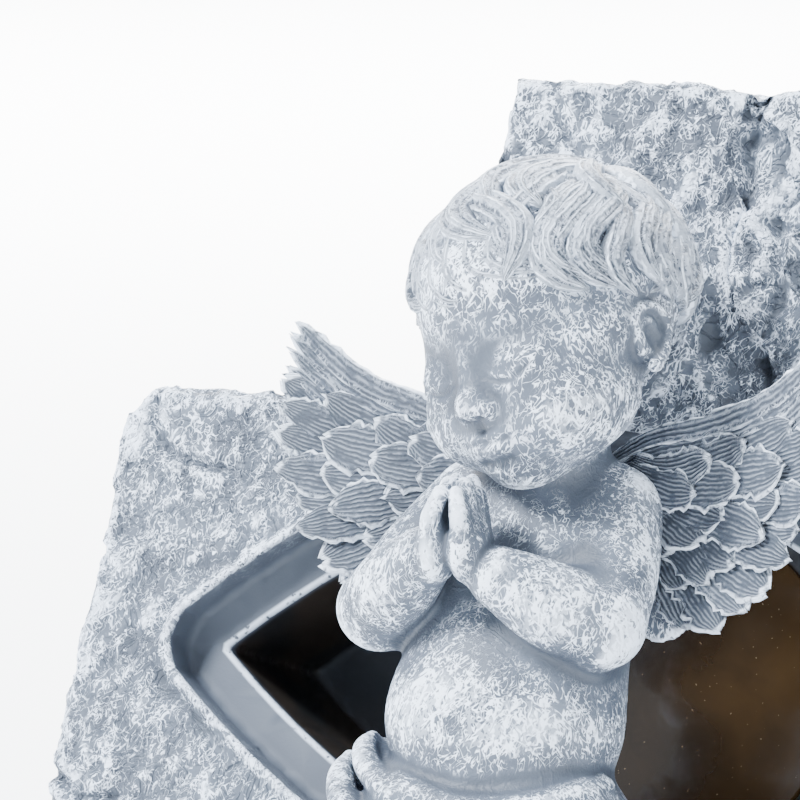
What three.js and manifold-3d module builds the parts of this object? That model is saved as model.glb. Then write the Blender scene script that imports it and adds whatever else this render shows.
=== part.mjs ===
// A cast resin garden ornament: a cherub that kneels in prayer on a rock, before a rough stone cross
// that leans back. The cross has a deep niche at its crossing, with a stepped rim and an amber pane
// at the back. Millimetres, +Z up. The origin is the middle of the flat underside, the front is -Y.
//
// The leaning frame: x runs along the cross's arms to the right, y goes straight into its face,
// and z runs up its face. Its origin is the middle of the niche, on the face.
import * as THREE from "three";
import { mergeVertices } from "three/addons/utils/BufferGeometryUtils.js";
import Module from "manifold-3d";

// Stance
const LEAN = THREE.MathUtils.degToRad(16);
const NICHE_HEIGHT = 140;
const FACE_SETBACK = 25;

// Cross
const ARM_LEFT = 140;
const ARM_RIGHT = 135;
const ARM_HALF_HEIGHT = 63.5;
const ARM_END_SLANT = 9;
const POST_TOP = 140;
const POST_HALF_TOP = 39;
const POST_HALF_ROOT = 49;
const POST_MIDDLE = -2;
const FOOT_DROP = 190;
const FOOT_HALF = 60;
const THICKNESS = 70;
const EDGE_BEVEL = 3;

// Niche and its stepped rim
const NICHE_LEFT = -101;
const NICHE_RIGHT = 84;
const NICHE_TOP = 46;
const NICHE_BOTTOM = -48;
const NICHE_BULGE = 9;
const RIM_WIDTH = 10.5;
const RIM_STEP = 11;
const NICHE_DEPTH = 60;

// Amber pane
const PANE_RADIUS = 41;
const PANE_THICKNESS = 4;
const PANE_MIDDLE = new THREE.Vector2(-6, 3);

// Base and rock seat
const SLAB_WIDTH = 214;
const SLAB_DEPTH = 160;
const SLAB_HEIGHT = 25;
const SEAT_LEVEL = -87;

// Cherub, with its seat point in the leaning frame
const FIGURE_HEIGHT = 150;
const SEAT_POINT = new THREE.Vector3(-8, -26, -40);
const HEAD_YAW = THREE.MathUtils.degToRad(-20);
const HEAD_PITCH = THREE.MathUtils.degToRad(22);
const HEAD_ROLL = THREE.MathUtils.degToRad(-9);
const HEAD_SQUAT = 0.95;

// Pieces that touch keep this gap
const GAP = 0.3;

const wasm = await Module();
wasm.setup();

// One unit of the figure's own measure: a hundred-and-fiftieth of its height from seat to crown
const UNIT = FIGURE_HEIGHT / 150;

const point = (x, y, z) => new THREE.Vector3(x, y, z);
const { degToRad, lerp } = THREE.MathUtils;

// Turns a closed three.js geometry into a solid
function solid(geometry, matrix = new THREE.Matrix4()) {
  const bare = new THREE.BufferGeometry();
  bare.setAttribute("position", geometry.getAttribute("position").clone());
  if (geometry.index) bare.setIndex(geometry.index.clone());
  bare.applyMatrix4(matrix);
  const merged = mergeVertices(bare, 1e-4);
  const corners = merged.index.array;
  const kept = [];
  for (let i = 0; i < corners.length; i += 3) {
    const [a, b, c] = corners.subarray(i, i + 3);
    if (a !== b && b !== c && c !== a) kept.push(a, b, c);
  }
  return new wasm.Manifold(
    new wasm.Mesh({
      numProp: 3,
      vertProperties: merged.attributes.position.array,
      triVerts: new Uint32Array(kept),
    }),
  );
}

// Solids made into one, with any hollow that is left sealed between them filled
function joined(solids) {
  const shells = solids.reduce((all, one) => all.add(one)).decompose();
  return shells.filter((shell) => shell.volume() > 0).reduce((all, one) => all.add(one));
}

// Turns a solid back into a three.js geometry
function geometryOf(body) {
  const mesh = body.getMesh();
  const places = new Float32Array(mesh.numVert * 3);
  for (let i = 0; i < mesh.numVert; i++) {
    const start = i * mesh.numProp;
    places.set(mesh.vertProperties.subarray(start, start + 3), i * 3);
  }
  const geometry = new THREE.BufferGeometry();
  geometry.setAttribute("position", new THREE.BufferAttribute(places, 3));
  geometry.setIndex(new THREE.BufferAttribute(mesh.triVerts, 1));
  geometry.computeVertexNormals();
  return geometry;
}

// A smooth repeatable roughness between -1 and 1
function rough(x, y, z) {
  const wave = Math.sin(x * 1.7 + y * 0.6) + Math.sin(y * 2.1 - z * 1.3) + Math.sin(z * 1.9 + x * 0.8);
  return wave / 3;
}

// LEANING FRAME
const leaningMatrix = new THREE.Matrix4()
  .makeRotationX(-LEAN)
  .setPosition(0, FACE_SETBACK, NICHE_HEIGHT);

// An outline's extrusion from depth y0 to y1, with its plane upright and facing -Y
function slabOf(shape, y0, y1, bevel = 0) {
  const geometry = new THREE.ExtrudeGeometry(shape, {
    depth: y1 - y0 - 2 * bevel,
    bevelEnabled: bevel > 0,
    bevelThickness: bevel,
    bevelSize: bevel,
    bevelOffset: -bevel,
    bevelSegments: 1,
    curveSegments: 8,
  });
  geometry.rotateX(Math.PI / 2);
  geometry.translate(0, y1 - bevel, 0);
  return geometry;
}

// CROSS
// The outline between two corners, broken into short uneven runs as hewn stone is
function hewnEdge(from, to, runs, depth) {
  const side = new THREE.Vector2(to.y - from.y, from.x - to.x).normalize();
  return Array.from({ length: runs }, (_, i) => {
    const place = from.clone().lerp(to, i / runs);
    return place.addScaledVector(side, i ? depth * rough(place.x, place.y, runs) : 0);
  });
}

function crossShape() {
  const left = -ARM_LEFT;
  const arm = ARM_HALF_HEIGHT;
  const corners = [
    [POST_MIDDLE - POST_HALF_TOP, POST_TOP, 5],
    [POST_MIDDLE + POST_HALF_TOP, POST_TOP, 5],
    [POST_MIDDLE + POST_HALF_ROOT, arm, 6],
    [ARM_RIGHT - ARM_END_SLANT, arm - 2, 8],
    [ARM_RIGHT, -arm, 6],
    [POST_MIDDLE + POST_HALF_ROOT, -arm - 1, 6],
    [POST_MIDDLE + FOOT_HALF, -FOOT_DROP, 5],
    [POST_MIDDLE - FOOT_HALF, -FOOT_DROP, 6],
    [POST_MIDDLE - POST_HALF_ROOT, -arm - 1, 6],
    [left - 4, -arm, 8],
    [left + ARM_END_SLANT - 1, arm - 9, 1],
    [left + ARM_END_SLANT + 6, arm - 1, 5],
    [POST_MIDDLE - POST_HALF_ROOT - 1, arm, 5],
  ];
  const outline = corners.flatMap(([x, y, runs], i) => {
    const [nextX, nextY] = corners[(i + 1) % corners.length];
    return hewnEdge(new THREE.Vector2(x, y), new THREE.Vector2(nextX, nextY), runs, 1.6);
  });
  return new THREE.Shape(outline);
}

// The niche's outline: four bowed sides between a left, bottom, right and top corner
function nicheShape(grow) {
  const middle = (NICHE_LEFT + NICHE_RIGHT) / 2;
  const corners = [
    [NICHE_LEFT, 0, NICHE_BULGE],
    [middle, NICHE_BOTTOM, NICHE_BULGE * 0.7],
    [NICHE_RIGHT, 0, NICHE_BULGE],
    [middle + 5, NICHE_TOP, NICHE_BULGE],
  ];
  const steps = 9;
  const outline = corners.flatMap(([x, y, bulge], i) => {
    const [nextX, nextY] = corners[(i + 1) % corners.length];
    return Array.from({ length: steps }, (_, k) => {
      const t = k / steps;
      const bow = 4 * bulge * t * (1 - t);
      return new THREE.Vector2(lerp(x, nextX, t), lerp(y, nextY, t) + Math.sign(y + nextY) * bow);
    });
  });
  return new THREE.Shape(grow > 0 ? widened(outline, grow) : outline);
}

// An outline pushed outwards, with its sharp corners rounded off
function widened(outline, grow) {
  const count = outline.length;
  return outline.flatMap((place, i) => {
    const before = outline[(i + count - 1) % count];
    const after = outline[(i + 1) % count];
    const first = new THREE.Vector2(place.y - before.y, before.x - place.x).normalize();
    const second = new THREE.Vector2(after.y - place.y, place.x - after.x).normalize();
    const sharp = first.dot(second) < 0.9;
    const turns = sharp ? [0.15, 0.5, 0.85] : [0.5];
    return turns.map((t) => place.clone().addScaledVector(first.clone().lerp(second, t).normalize(), grow));
  });
}

// A faceted lump of rock, used whole as a boulder and as the cutter of a chip
function lump(centre, radii, detail = 2, depth = 0.12) {
  const geometry = new THREE.IcosahedronGeometry(1, detail);
  const places = geometry.getAttribute("position");
  for (let i = 0; i < places.count; i++) {
    const [x, y, z] = [places.getX(i), places.getY(i), places.getZ(i)];
    const reach = 1 + depth * rough(x * 2.3 + centre.x, y * 2.3 + centre.y, z * 2.3 + centre.z);
    places.setXYZ(i, x * radii.x * reach, y * radii.y * reach, z * radii.z * reach);
  }
  return geometry.translate(centre.x, centre.y, centre.z);
}

// Chips broken from the front edges, each with its place on the face and its size
function chips() {
  const left = -ARM_LEFT;
  const places = [
    [left + 1, 30, 5], [left - 1, 8, 6], [left - 2, -18, 5], [left - 3, -44, 8],
    [-108, 62, 4], [-66, 64, 5], [POST_MIDDLE - POST_HALF_TOP - 2, 116, 6],
    [-14, POST_TOP + 1, 4], [22, POST_TOP + 2, 6], [96, 61, 6], [ARM_RIGHT - 1, 20, 7],
    [ARM_RIGHT + 1, -30, 5], [POST_MIDDLE + POST_HALF_TOP + 2, 98, 7], [78, -63, 6], [-82, -64, 5],
  ];
  return places.map(([x, z, size]) => lump(point(x, -1, z), point(size, size * 0.9, size * 1.2), 0, 0.3));
}

// The broken hollow down the right of the top arm, stepped like split stone
function fractures() {
  const steps = [
    [26, 118, 7, 17, -0.5],
    [30, 92, 9, 22, -0.25],
    [24, 72, 8, 15, -0.6],
  ];
  return steps.map(([x, z, halfWidth, halfHeight, turn]) => {
    const cutter = lump(point(0, 0, 0), point(halfWidth, 2.4, halfHeight), 1, 0.25);
    return cutter.rotateY(turn).translate(x, 0, z);
  });
}

// The world's base slab and the rocks that the cherub kneels on
function baseRocks() {
  const count = 28;
  const outline = Array.from({ length: count }, (_, i) => {
    const turn = (i / count) * 2 * Math.PI;
    const square = Math.pow(Math.abs(Math.cos(turn)) ** 3 + Math.abs(Math.sin(turn)) ** 3, -1 / 3);
    const reach = square * (1 + 0.035 * rough(i * 1.3, i * 0.7, 2));
    return new THREE.Vector2((SLAB_WIDTH / 2) * reach * Math.cos(turn), (SLAB_DEPTH / 2) * reach * Math.sin(turn));
  });
  const slab = new THREE.ExtrudeGeometry(new THREE.Shape(outline), {
    depth: SLAB_HEIGHT - 7,
    bevelEnabled: true,
    bevelThickness: 7,
    bevelSize: 8,
    bevelOffset: -8,
    bevelSegments: 2,
  });
  const boulders = [
    lump(point(-8, -26, 34), point(60, 42, 50)),
    lump(point(-52, -20, 26), point(38, 38, 30)),
    lump(point(44, -24, 24), point(40, 36, 26)),
    lump(point(-14, -50, 26), point(44, 26, 24)),
    lump(point(62, 30, 22), point(26, 28, 18)),
    lump(point(-66, 34, 22), point(24, 26, 17)),
  ];
  return joined([slab, ...boulders].map((one) => solid(one)));
}

function crossSolid(kneeling) {
  const body = solid(slabOf(crossShape(), 0, THICKNESS, EDGE_BEVEL), leaningMatrix);
  const cutters = [
    slabOf(nicheShape(RIM_WIDTH), -THICKNESS, RIM_STEP),
    slabOf(nicheShape(0), -THICKNESS, NICHE_DEPTH),
    paneBlank(PANE_RADIUS, -THICKNESS, NICHE_DEPTH + PANE_THICKNESS),
    ...chips(),
    ...fractures(),
  ];
  const seatTop = new THREE.BoxGeometry(400, 200, 200).translate(0, -100, SEAT_LEVEL + 100);
  const rocks = baseRocks().subtract(solid(seatTop, leaningMatrix));
  const cross = cutters.reduce((rest, one) => rest.subtract(solid(one, leaningMatrix)), body.add(rocks));
  return cross.subtract(kneeling).trimByPlane([0, 0, 1], 0);
}

// AMBER PANE
function paneBlank(radius, y0, y1) {
  const blank = new THREE.CylinderGeometry(radius, radius, y1 - y0, 48);
  return blank.translate(PANE_MIDDLE.x, (y0 + y1) / 2, PANE_MIDDLE.y);
}

function paneSolid() {
  return solid(paneBlank(PANE_RADIUS - GAP, NICHE_DEPTH, NICHE_DEPTH + PANE_THICKNESS - GAP));
}

// CHERUB
// Shapes are given in figure units in a frame of their own, and each helper can add a clearance.
function blob(centre, radii, turn = [0, 0, 0], detail = 12, extra = 0) {
  const ball = new THREE.SphereGeometry(1, detail, Math.round(detail * 0.66)).rotateX(Math.PI / 2);
  const matrix = new THREE.Matrix4().compose(
    centre,
    new THREE.Quaternion().setFromEuler(new THREE.Euler(...turn.map(degToRad))),
    point(radii[0] + extra, radii[1] + extra, radii[2] + extra),
  );
  return ball.applyMatrix4(matrix);
}

// A round limb that tapers from one radius to another
function limb(from, to, startRadius, endRadius, extra = 0, sides = 9) {
  const length = from.distanceTo(to);
  const steps = 3;
  const profile = [];
  for (let i = 0; i <= steps; i++) {
    const turn = -Math.PI / 2 + (i / steps) * (Math.PI / 2);
    profile.push(new THREE.Vector2((startRadius + extra) * Math.cos(turn), (startRadius + extra) * Math.sin(turn)));
  }
  for (let i = 0; i <= steps; i++) {
    const turn = (i / steps) * (Math.PI / 2);
    const rise = length + (endRadius + extra) * Math.sin(turn);
    profile.push(new THREE.Vector2((endRadius + extra) * Math.cos(turn), rise));
  }
  profile[0].x = 0;
  profile[profile.length - 1].x = 0;
  const geometry = new THREE.LatheGeometry(profile, sides);
  const along = new THREE.Quaternion().setFromUnitVectors(point(0, 1, 0), to.clone().sub(from).normalize());
  return geometry.applyQuaternion(along).translate(from.x, from.y, from.z);
}

// A flattened tapering sweep along points, closed at both ends, whose broad side faces `facing`
function sweep(points, widths, thickness, facing, sides = 6, steps = 6) {
  const curve = new THREE.CatmullRomCurve3(points);
  const places = [];
  for (let i = 0; i <= steps; i++) {
    const t = i / steps;
    const middle = curve.getPoint(t);
    const tangent = curve.getTangent(t);
    const out = facing(middle).clone().addScaledVector(tangent, -facing(middle).dot(tangent)).normalize();
    const across = new THREE.Vector3().crossVectors(tangent, out);
    const slot = t * (widths.length - 1);
    const index = Math.min(Math.floor(slot), widths.length - 2);
    const half = lerp(widths[index], widths[index + 1], slot - index) / 2;
    for (let k = 0; k < sides; k++) {
      const turn = (k / sides) * 2 * Math.PI;
      const place = middle.clone().addScaledVector(across, half * Math.cos(turn));
      const rise = Math.min(thickness / 2, half) * Math.sin(turn);
      places.push(place.addScaledVector(out, rise));
    }
  }
  const ends = [curve.getPoint(0), curve.getPoint(1)];
  const first = places.length;
  places.push(...ends);
  const faces = [];
  for (let i = 0; i < steps; i++) {
    for (let k = 0; k < sides; k++) {
      const [a, b] = [i * sides + k, i * sides + ((k + 1) % sides)];
      faces.push(a, a + sides, b, b, a + sides, b + sides);
    }
  }
  for (let k = 0; k < sides; k++) {
    const next = (k + 1) % sides;
    faces.push(first, k, next);
    faces.push(first + 1, steps * sides + next, steps * sides + k);
  }
  const geometry = new THREE.BufferGeometry().setFromPoints(places);
  geometry.setIndex(faces);
  return geometry;
}

// HEAD, in its own frame: x to the cherub's left, y back, z up, origin in the middle of the head
const SKULL = { centre: point(0, 3, 6), radii: [30.5, 33.5, 29.5] };

// The point of the skull in a direction, turned about z from the front and down from the top
function onSkull(around, down, lift = 0) {
  const [a, d] = [degToRad(around), degToRad(down)];
  const way = point(Math.sin(a) * Math.sin(d), -Math.cos(a) * Math.sin(d), Math.cos(d));
  const reach = SKULL.radii.map((r) => r + lift);
  return point(way.x * reach[0], way.y * reach[1], way.z * reach[2]).add(SKULL.centre);
}

// Locks combed from a side parting to the hairline, each as start, end and side
function hairLocks() {
  const sides = [
    { count: 10, ends: [[-12, 52], [22, 60], [52, 66], [78, 72], [104, 88], [128, 104], [152, 112], [176, 116]], sway: 10 },
    { count: 6, ends: [[-38, 56], [-62, 66], [-92, 80], [-122, 102], [-160, 114]], sway: -10 },
  ];
  return sides.flatMap(({ count, ends, sway }) =>
    Array.from({ length: count }, (_, i) => {
      const t = i / (count - 1);
      const slot = Math.min(t * (ends.length - 1), ends.length - 1.001);
      const [low, high] = [ends[Math.floor(slot)], ends[Math.floor(slot) + 1]];
      const end = low.map((value, k) => lerp(value, high[k], slot % 1));
      const start = onSkull(lerp(-28, -150, t), lerp(34, 14, Math.sin(t * Math.PI)), 0);
      const finish = onSkull(end[0], end[1], 0.6);
      const points = [0, 0.25, 0.5, 0.75, 1].map((s) => {
        const flat = start.clone().lerp(finish, s).sub(SKULL.centre);
        const swing = degToRad(sway * Math.sin(s * Math.PI * 1.6 + i));
        flat.applyAxisAngle(finish.clone().sub(start).normalize(), swing);
        const reach = Math.hypot(...SKULL.radii.map((r, k) => flat.getComponent(k) / r));
        return flat.divideScalar(reach).multiplyScalar(1.03).add(SKULL.centre);
      });
      const facing = (place) => place.clone().sub(SKULL.centre).normalize();
      return sweep(points, [3, 9, 10, 7, 1.6], 5, facing, 4, 3);
    }),
  );
}

function headParts() {
  const face = [
    blob(SKULL.centre, SKULL.radii, [0, 0, 0], 14),
    blob(point(0, -11, -13), [24, 19, 22], [0, 0, 0], 14),
    blob(point(0, -20, -29), [8, 8, 6.5], [0, 0, 0], 10),
    limb(point(0, -28, -3), point(0, -31.5, -12), 2.2, 3.9, 0, 8),
    blob(point(0, -27.5, -21.5), [6, 3.6, 2.6], [0, 0, 0], 8),
  ];
  const paired = [-1, 1].flatMap((side) => [
    blob(point(12.5 * side, -17, -16), [12.5, 11, 11.5], [0, 0, 0], 12),
    blob(point(10.5 * side, -23.5, -4.5), [6.5, 4.2, 3.4], [0, 0, 0], 8),
    blob(point(29 * side, 2, -8), [3.2, 5.4, 8], [12, 0, 14 * side], 10),
  ]);
  return [...face, ...paired, ...hairLocks()];
}

const headMatrix = new THREE.Matrix4()
  .makeRotationFromEuler(new THREE.Euler(HEAD_PITCH, HEAD_ROLL, HEAD_YAW, "ZXY"))
  .setPosition(4, -15, 113)
  .scale(point(1, 1, HEAD_SQUAT));

// WINGS, for the cherub's left side, with x measured outwards from its middle
const WING_MIDDLE = 2;

// The wing bows forwards as it reaches out
function wingPlace(x, z, lift = 0) {
  return point(x, 14 - 0.0035 * x * x - 0.05 * x - lift, z);
}

function featherRow({ roots, tips, count, width, lift }) {
  return Array.from({ length: count }, (_, i) => {
    const t = i / (count - 1);
    const slot = Math.min(t * (tips.length - 1), tips.length - 1.001);
    const [low, high] = [tips[Math.floor(slot)], tips[Math.floor(slot) + 1]];
    const tip = low.map((value, k) => lerp(value, high[k], slot % 1));
    const root = roots[0].map((value, k) => lerp(value, roots[1][k], t));
    const points = [0, 0.33, 0.66, 1].map((s) => {
      const sag = 1.5 * Math.sin(s * Math.PI);
      return wingPlace(lerp(root[0], tip[0], s), lerp(root[1], tip[1], s) - sag, lift + 1.2 * (1 - s) + 0.4 * (i % 2));
    });
    return sweep(points, [4, width, width * 1.1, width, width * 0.5], 2.8, () => point(0, -1, 0), 4, 3);
  });
}

function wingParts() {
  const rows = [
    {
      roots: [[29, 91], [17, 76]],
      tips: [[65, 112], [67.5, 102], [67.5, 91], [66, 80], [62.5, 69], [57, 60], [49.5, 52.5], [40, 48], [31, 47], [22, 51]],
      count: 10, width: 12, lift: 0,
    },
    {
      roots: [[24, 90], [16, 78]],
      tips: [[52, 103], [54, 93], [54, 82], [50, 71], [43, 63], [33, 58], [23, 60]],
      count: 6, width: 12, lift: 2.2,
    },
    { roots: [[20, 89], [15, 80]], tips: [[38, 97], [41, 89], [39, 79], [32, 71], [23, 69]], count: 4, width: 11.5, lift: 4.2 },
  ];
  const arm = [[10, 83], [22, 90], [38, 93], [53, 100], [64.5, 109.5]];
  const edge = arm.map(([x, z]) => wingPlace(x, z, 2));
  return [
    ...rows.flatMap(featherRow),
    sweep(edge, [11, 11, 8, 6, 3], 7, () => point(0, -1, 0), 6, 6),
    limb(point(8, 6, 60), wingPlace(22, 64), 8, 5.5),
  ];
}

// DRAPERY: a cloth round the hips and over the thighs, gathered at the right hip
function draperyParts(extra) {
  const facing = (place) => place.clone().sub(point(0, -14, -8)).setX(place.x * 0.7).normalize();
  const folds = [
    [[-36, 4, 22], [-33, -16, 14], [-18, -27, 5], [3, -29, 2], [23, -20, 5], [30, 0, 9]],
    [[-41, -2, 17], [-37, -17, 8], [-26, -30, -3], [-12, -37, -14], [2, -36, -24]],
    [[-42, 2, 11], [-37, -14, 0], [-28, -25, -13], [-18, -33, -27]],
    [[-37, 6, 4], [-36, -8, -10], [-32, -20, -24], [-28, -26, -38]],
    [[27, -10, 2], [22, -25, -8], [14, -36, -20], [8, -40, -32]],
    [[31, -2, 2], [30, -16, -12], [26, -28, -24], [22, -34, -38]],
    [[30, 6, -4], [32, -4, -18], [31, -14, -30], [29, -20, -42]],
  ];
  return folds.map((fold, i) => {
    const points = fold.map((place) => point(...place));
    const width = (i ? 8 : 9) + 2 * extra;
    return sweep(points, [5, width, width, width, 4], 8 + 2 * extra, facing, 4, 5);
  });
}

// What touches the rock: thighs, knees, shins and feet under the cloth
function kneelingParts(extra) {
  return [
    blob(point(0, 2, 0), [30, 24, 21], [0, 0, 0], 14, extra),
    limb(point(-13, -4, -6), point(-15, -22, -36), 19, 14, extra),
    limb(point(13, -4, -6), point(14, -22, -36), 19, 14, extra),
    limb(point(-16, -18, -43), point(-14, 15, -46), 10.5, 7.5, extra),
    limb(point(16, -18, -43), point(14, 15, -46), 10.5, 7.5, extra),
    blob(point(0, -8, -24), [20, 20, 22], [0, 0, 0], 12, extra),
    blob(point(-32, 2, 9), [10, 14, 10], [0, 0, 0], 10, extra),
    ...draperyParts(extra),
  ];
}

function bodyParts() {
  const trunk = [
    blob(point(1, 1, 62), [22.5, 17, 24]),
    blob(point(0, -0.5, 44), [24.5, 20.5, 22]),
    blob(point(-2, -2, 24), [27.5, 24.5, 25], [0, 0, 0], 14),
    limb(point(2, -1, 74), point(4, -9, 92), 14, 13),
  ];
  const arms = [
    limb(point(17, 2, 73), point(23.5, -13, 46), 11.5, 9.5),
    limb(point(23.5, -14, 46), point(4, -30, 53.5), 9.8, 7.6),
    limb(point(-16, 1, 73), point(-32.5, -10, 47), 11, 9),
    limb(point(-32.5, -10, 47), point(-12, -31, 57), 9.3, 7.2),
  ];
  const hands = [
    blob(point(-1.6, -35, 64), [4.6, 8.4, 13], [-8, 0, 6], 12),
    blob(point(-8.4, -35, 64.5), [4.6, 8.4, 13], [-8, 0, 4], 12),
  ];
  return [...trunk, ...arms, ...hands];
}

const figureMatrix = new THREE.Matrix4()
  .makeScale(UNIT, UNIT, UNIT)
  .setPosition(SEAT_POINT.x, SEAT_POINT.y, SEAT_POINT.z);

// The cherub in the leaning frame
function angelSolid() {
  const head = joined(headParts().map((one) => solid(one, figureMatrix.clone().multiply(headMatrix))));
  const wings = [1, -1].flatMap((side) => {
    const mirror = new THREE.Matrix4().makeScale(side, 1, 1).setPosition(WING_MIDDLE, 0, 0);
    const matrix = figureMatrix.clone().multiply(mirror);
    return wingParts().map((one) => solid(side > 0 ? one : turnedRound(one), matrix));
  });
  const rest = [...bodyParts(), ...kneelingParts(0)].map((one) => solid(one, figureMatrix));
  return joined([head, ...wings, ...rest]);
}

// A mirror turns each face round, so this turns it back
function turnedRound(geometry) {
  const order = geometry.index.array;
  for (let i = 0; i < order.length; i += 3) {
    [order[i + 1], order[i + 2]] = [order[i + 2], order[i + 1]];
  }
  return geometry;
}

// The space under the kneeling cherub, in the world, that the rock leaves free
function kneelingSpace() {
  const matrix = leaningMatrix.clone().multiply(figureMatrix);
  return joined(kneelingParts(GAP / UNIT).map((one) => solid(one, matrix)));
}

// ASSEMBLY
function named(name, body, colour, roughness, opacity = 1) {
  const material = new THREE.MeshStandardMaterial({ color: colour, roughness, metalness: 0 });
  if (opacity < 1) Object.assign(material, { transparent: true, opacity });
  const mesh = new THREE.Mesh(geometryOf(body), material);
  mesh.name = name;
  return mesh;
}

const statue = new THREE.Group();
statue.add(named("stone_cross", crossSolid(kneelingSpace()), 0xaab0b7, 0.75));

const leaning = new THREE.Group();
leaning.rotation.x = -LEAN;
leaning.position.set(0, FACE_SETBACK, NICHE_HEIGHT);
leaning.add(named("angel", angelSolid(), 0xc4c9d0, 0.7));
leaning.add(named("amber_pane", paneSolid(), 0x6b4416, 0.15, 0.8));
statue.add(leaning);

export default statue;
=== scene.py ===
"""A grey resin cherub that kneels before a leaning, rough cross with a niche and an amber pane.

The cherub is sculpted as blended distance fields, in millimetres in the figure's own frame. Its
feathers and locks of hair are swept shells. The cross is the solid part's own shape, remeshed and
then worn, cracked and chipped vertex by vertex.
"""

import logging
import math
from collections.abc import Callable, Sequence
from dataclasses import dataclass
from enum import Enum

import bpy
import numpy as np
from mathutils import Euler, Matrix, Vector, noise


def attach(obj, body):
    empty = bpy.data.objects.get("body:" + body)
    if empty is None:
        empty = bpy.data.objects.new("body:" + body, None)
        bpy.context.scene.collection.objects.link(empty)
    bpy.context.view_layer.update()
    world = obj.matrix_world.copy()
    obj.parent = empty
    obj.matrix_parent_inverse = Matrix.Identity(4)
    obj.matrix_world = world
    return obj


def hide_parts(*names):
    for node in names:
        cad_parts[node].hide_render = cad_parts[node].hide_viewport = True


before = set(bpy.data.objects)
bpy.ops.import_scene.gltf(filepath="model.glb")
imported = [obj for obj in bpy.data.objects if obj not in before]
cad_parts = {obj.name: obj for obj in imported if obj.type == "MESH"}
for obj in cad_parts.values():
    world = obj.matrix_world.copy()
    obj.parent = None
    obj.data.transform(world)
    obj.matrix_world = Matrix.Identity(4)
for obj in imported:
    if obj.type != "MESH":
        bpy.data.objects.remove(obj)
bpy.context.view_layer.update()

LOG = logging.getLogger("angel_statue")

# The leaning frame has x along the cross's arms, y into its face and z up the face. The figure's
# frame is parallel to it. All of the modelling is in millimetres.
MM_PER_METRE = 1000
LEAN = math.radians(16.0)
LEAN_TURN = np.array([[1, 0, 0], [0, math.cos(LEAN), -math.sin(LEAN)], [0, math.sin(LEAN), math.cos(LEAN)]])
FACE_ORIGIN = np.array([0.0, 25.0, 140.0])
SEAT_POINT = np.array([-8.0, -26.0, -40.0])
HEAD_PLACE = np.array([4.0, -15.0, 113.0])
HEAD_TURN = (
    Matrix.Rotation(math.radians(-20.0), 3, "Z")
    @ Matrix.Rotation(math.radians(22.0), 3, "X")
    @ Matrix.Rotation(math.radians(-9.0), 3, "Y")
)
HEAD_SQUAT = 0.95
WING_MIDDLE = 2.0
RIM_STEP = 11.0
RIM_WIDTH = 10.5
NICHE_DEPTH = 60.0
FAR_FROM_NICHE = 99.0

Triple = tuple[float, float, float]
Row = Sequence[float]
Rows = Sequence[Row]
Distance = Callable[[np.ndarray], np.ndarray]


class Node(str, Enum):
    """The solid part's nodes."""

    CROSS = "stone_cross"
    ANGEL = "angel"
    PANE = "amber_pane"


class Mark(str, Enum):
    """Point attributes that the paint reads."""

    RAISED = "raised"
    RIM = "rim"
    DEPTH = "depth"
    STRIPE = "stripe"
    EDGE = "edge"


@dataclass(frozen=True)
class ResinFinish:
    """Painted resin: two greys under off-white strokes.

    Attributes:
        low: Colour of the darker grey.
        high: Colour of the lighter grey.
        fleck: Colour of the brushed-on paint.
        cover: How wide the brushed strokes are, from 0 to 1.
        grain: Strength of the bump, from 0 to 1.
        roughness: Roughness of the bare grey.
        hollow_shade: Strength of the painted shade in the hollows, from 0 to 1.
        rock: Height of the rock-like bump, as a share of the bump's depth.
    """

    low: Triple
    high: Triple
    fleck: Triple
    cover: float
    grain: float
    roughness: float
    hollow_shade: float
    rock: float


@dataclass(frozen=True)
class AmberFinish:
    """See-through amber resin.

    Attributes:
        dark: Colour of the thick, shaded part.
        warm: Colour of the lit part.
        roughness: Roughness of the surface.
    """

    dark: Triple
    warm: Triple
    roughness: float


LEDGE_GREY = (0.067, 0.079, 0.102)
# Near black of the niche's walls: their dark bare resin, deepened with painted shade.
NICHE_BLACK = (0.006, 0.006, 0.007)
# Painted reflection: the amber pane's warm light, laid on the niche's walls as brown patches.
NICHE_AMBER_REFLECTION = (0.017, 0.012, 0.009)
STONE_PAINT = ResinFinish(
    low=(0.052, 0.063, 0.084),
    high=(0.087, 0.105, 0.136),
    fleck=(0.72, 0.8, 0.93),
    cover=0.32,
    grain=0.7,
    roughness=0.6,
    hollow_shade=0.5,
    rock=2.2,
)
FIGURE_PAINT = ResinFinish(
    low=(0.068, 0.082, 0.109),
    high=(0.1, 0.12, 0.156),
    fleck=(0.77, 0.85, 0.97),
    cover=0.5,
    grain=0.8,
    roughness=0.48,
    hollow_shade=0.4,
    rock=0.2,
)
AMBER = AmberFinish(dark=(0.016, 0.011, 0.008), warm=(0.066, 0.038, 0.016), roughness=0.14)


# Frames


def leaning_to_world(places: np.ndarray) -> np.ndarray:
    """Moves points of the leaning frame into the part's frame."""
    return places @ LEAN_TURN + FACE_ORIGIN


def world_to_leaning(places: np.ndarray) -> np.ndarray:
    """Moves points of the part's frame into the leaning frame."""
    return (places - FACE_ORIGIN) @ LEAN_TURN.T


def head_to_figure(places: np.ndarray) -> np.ndarray:
    """Moves points of the head's frame into the figure's frame."""
    return (places * [1, 1, HEAD_SQUAT]) @ np.array(HEAD_TURN).T + HEAD_PLACE


# Meshes


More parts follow.
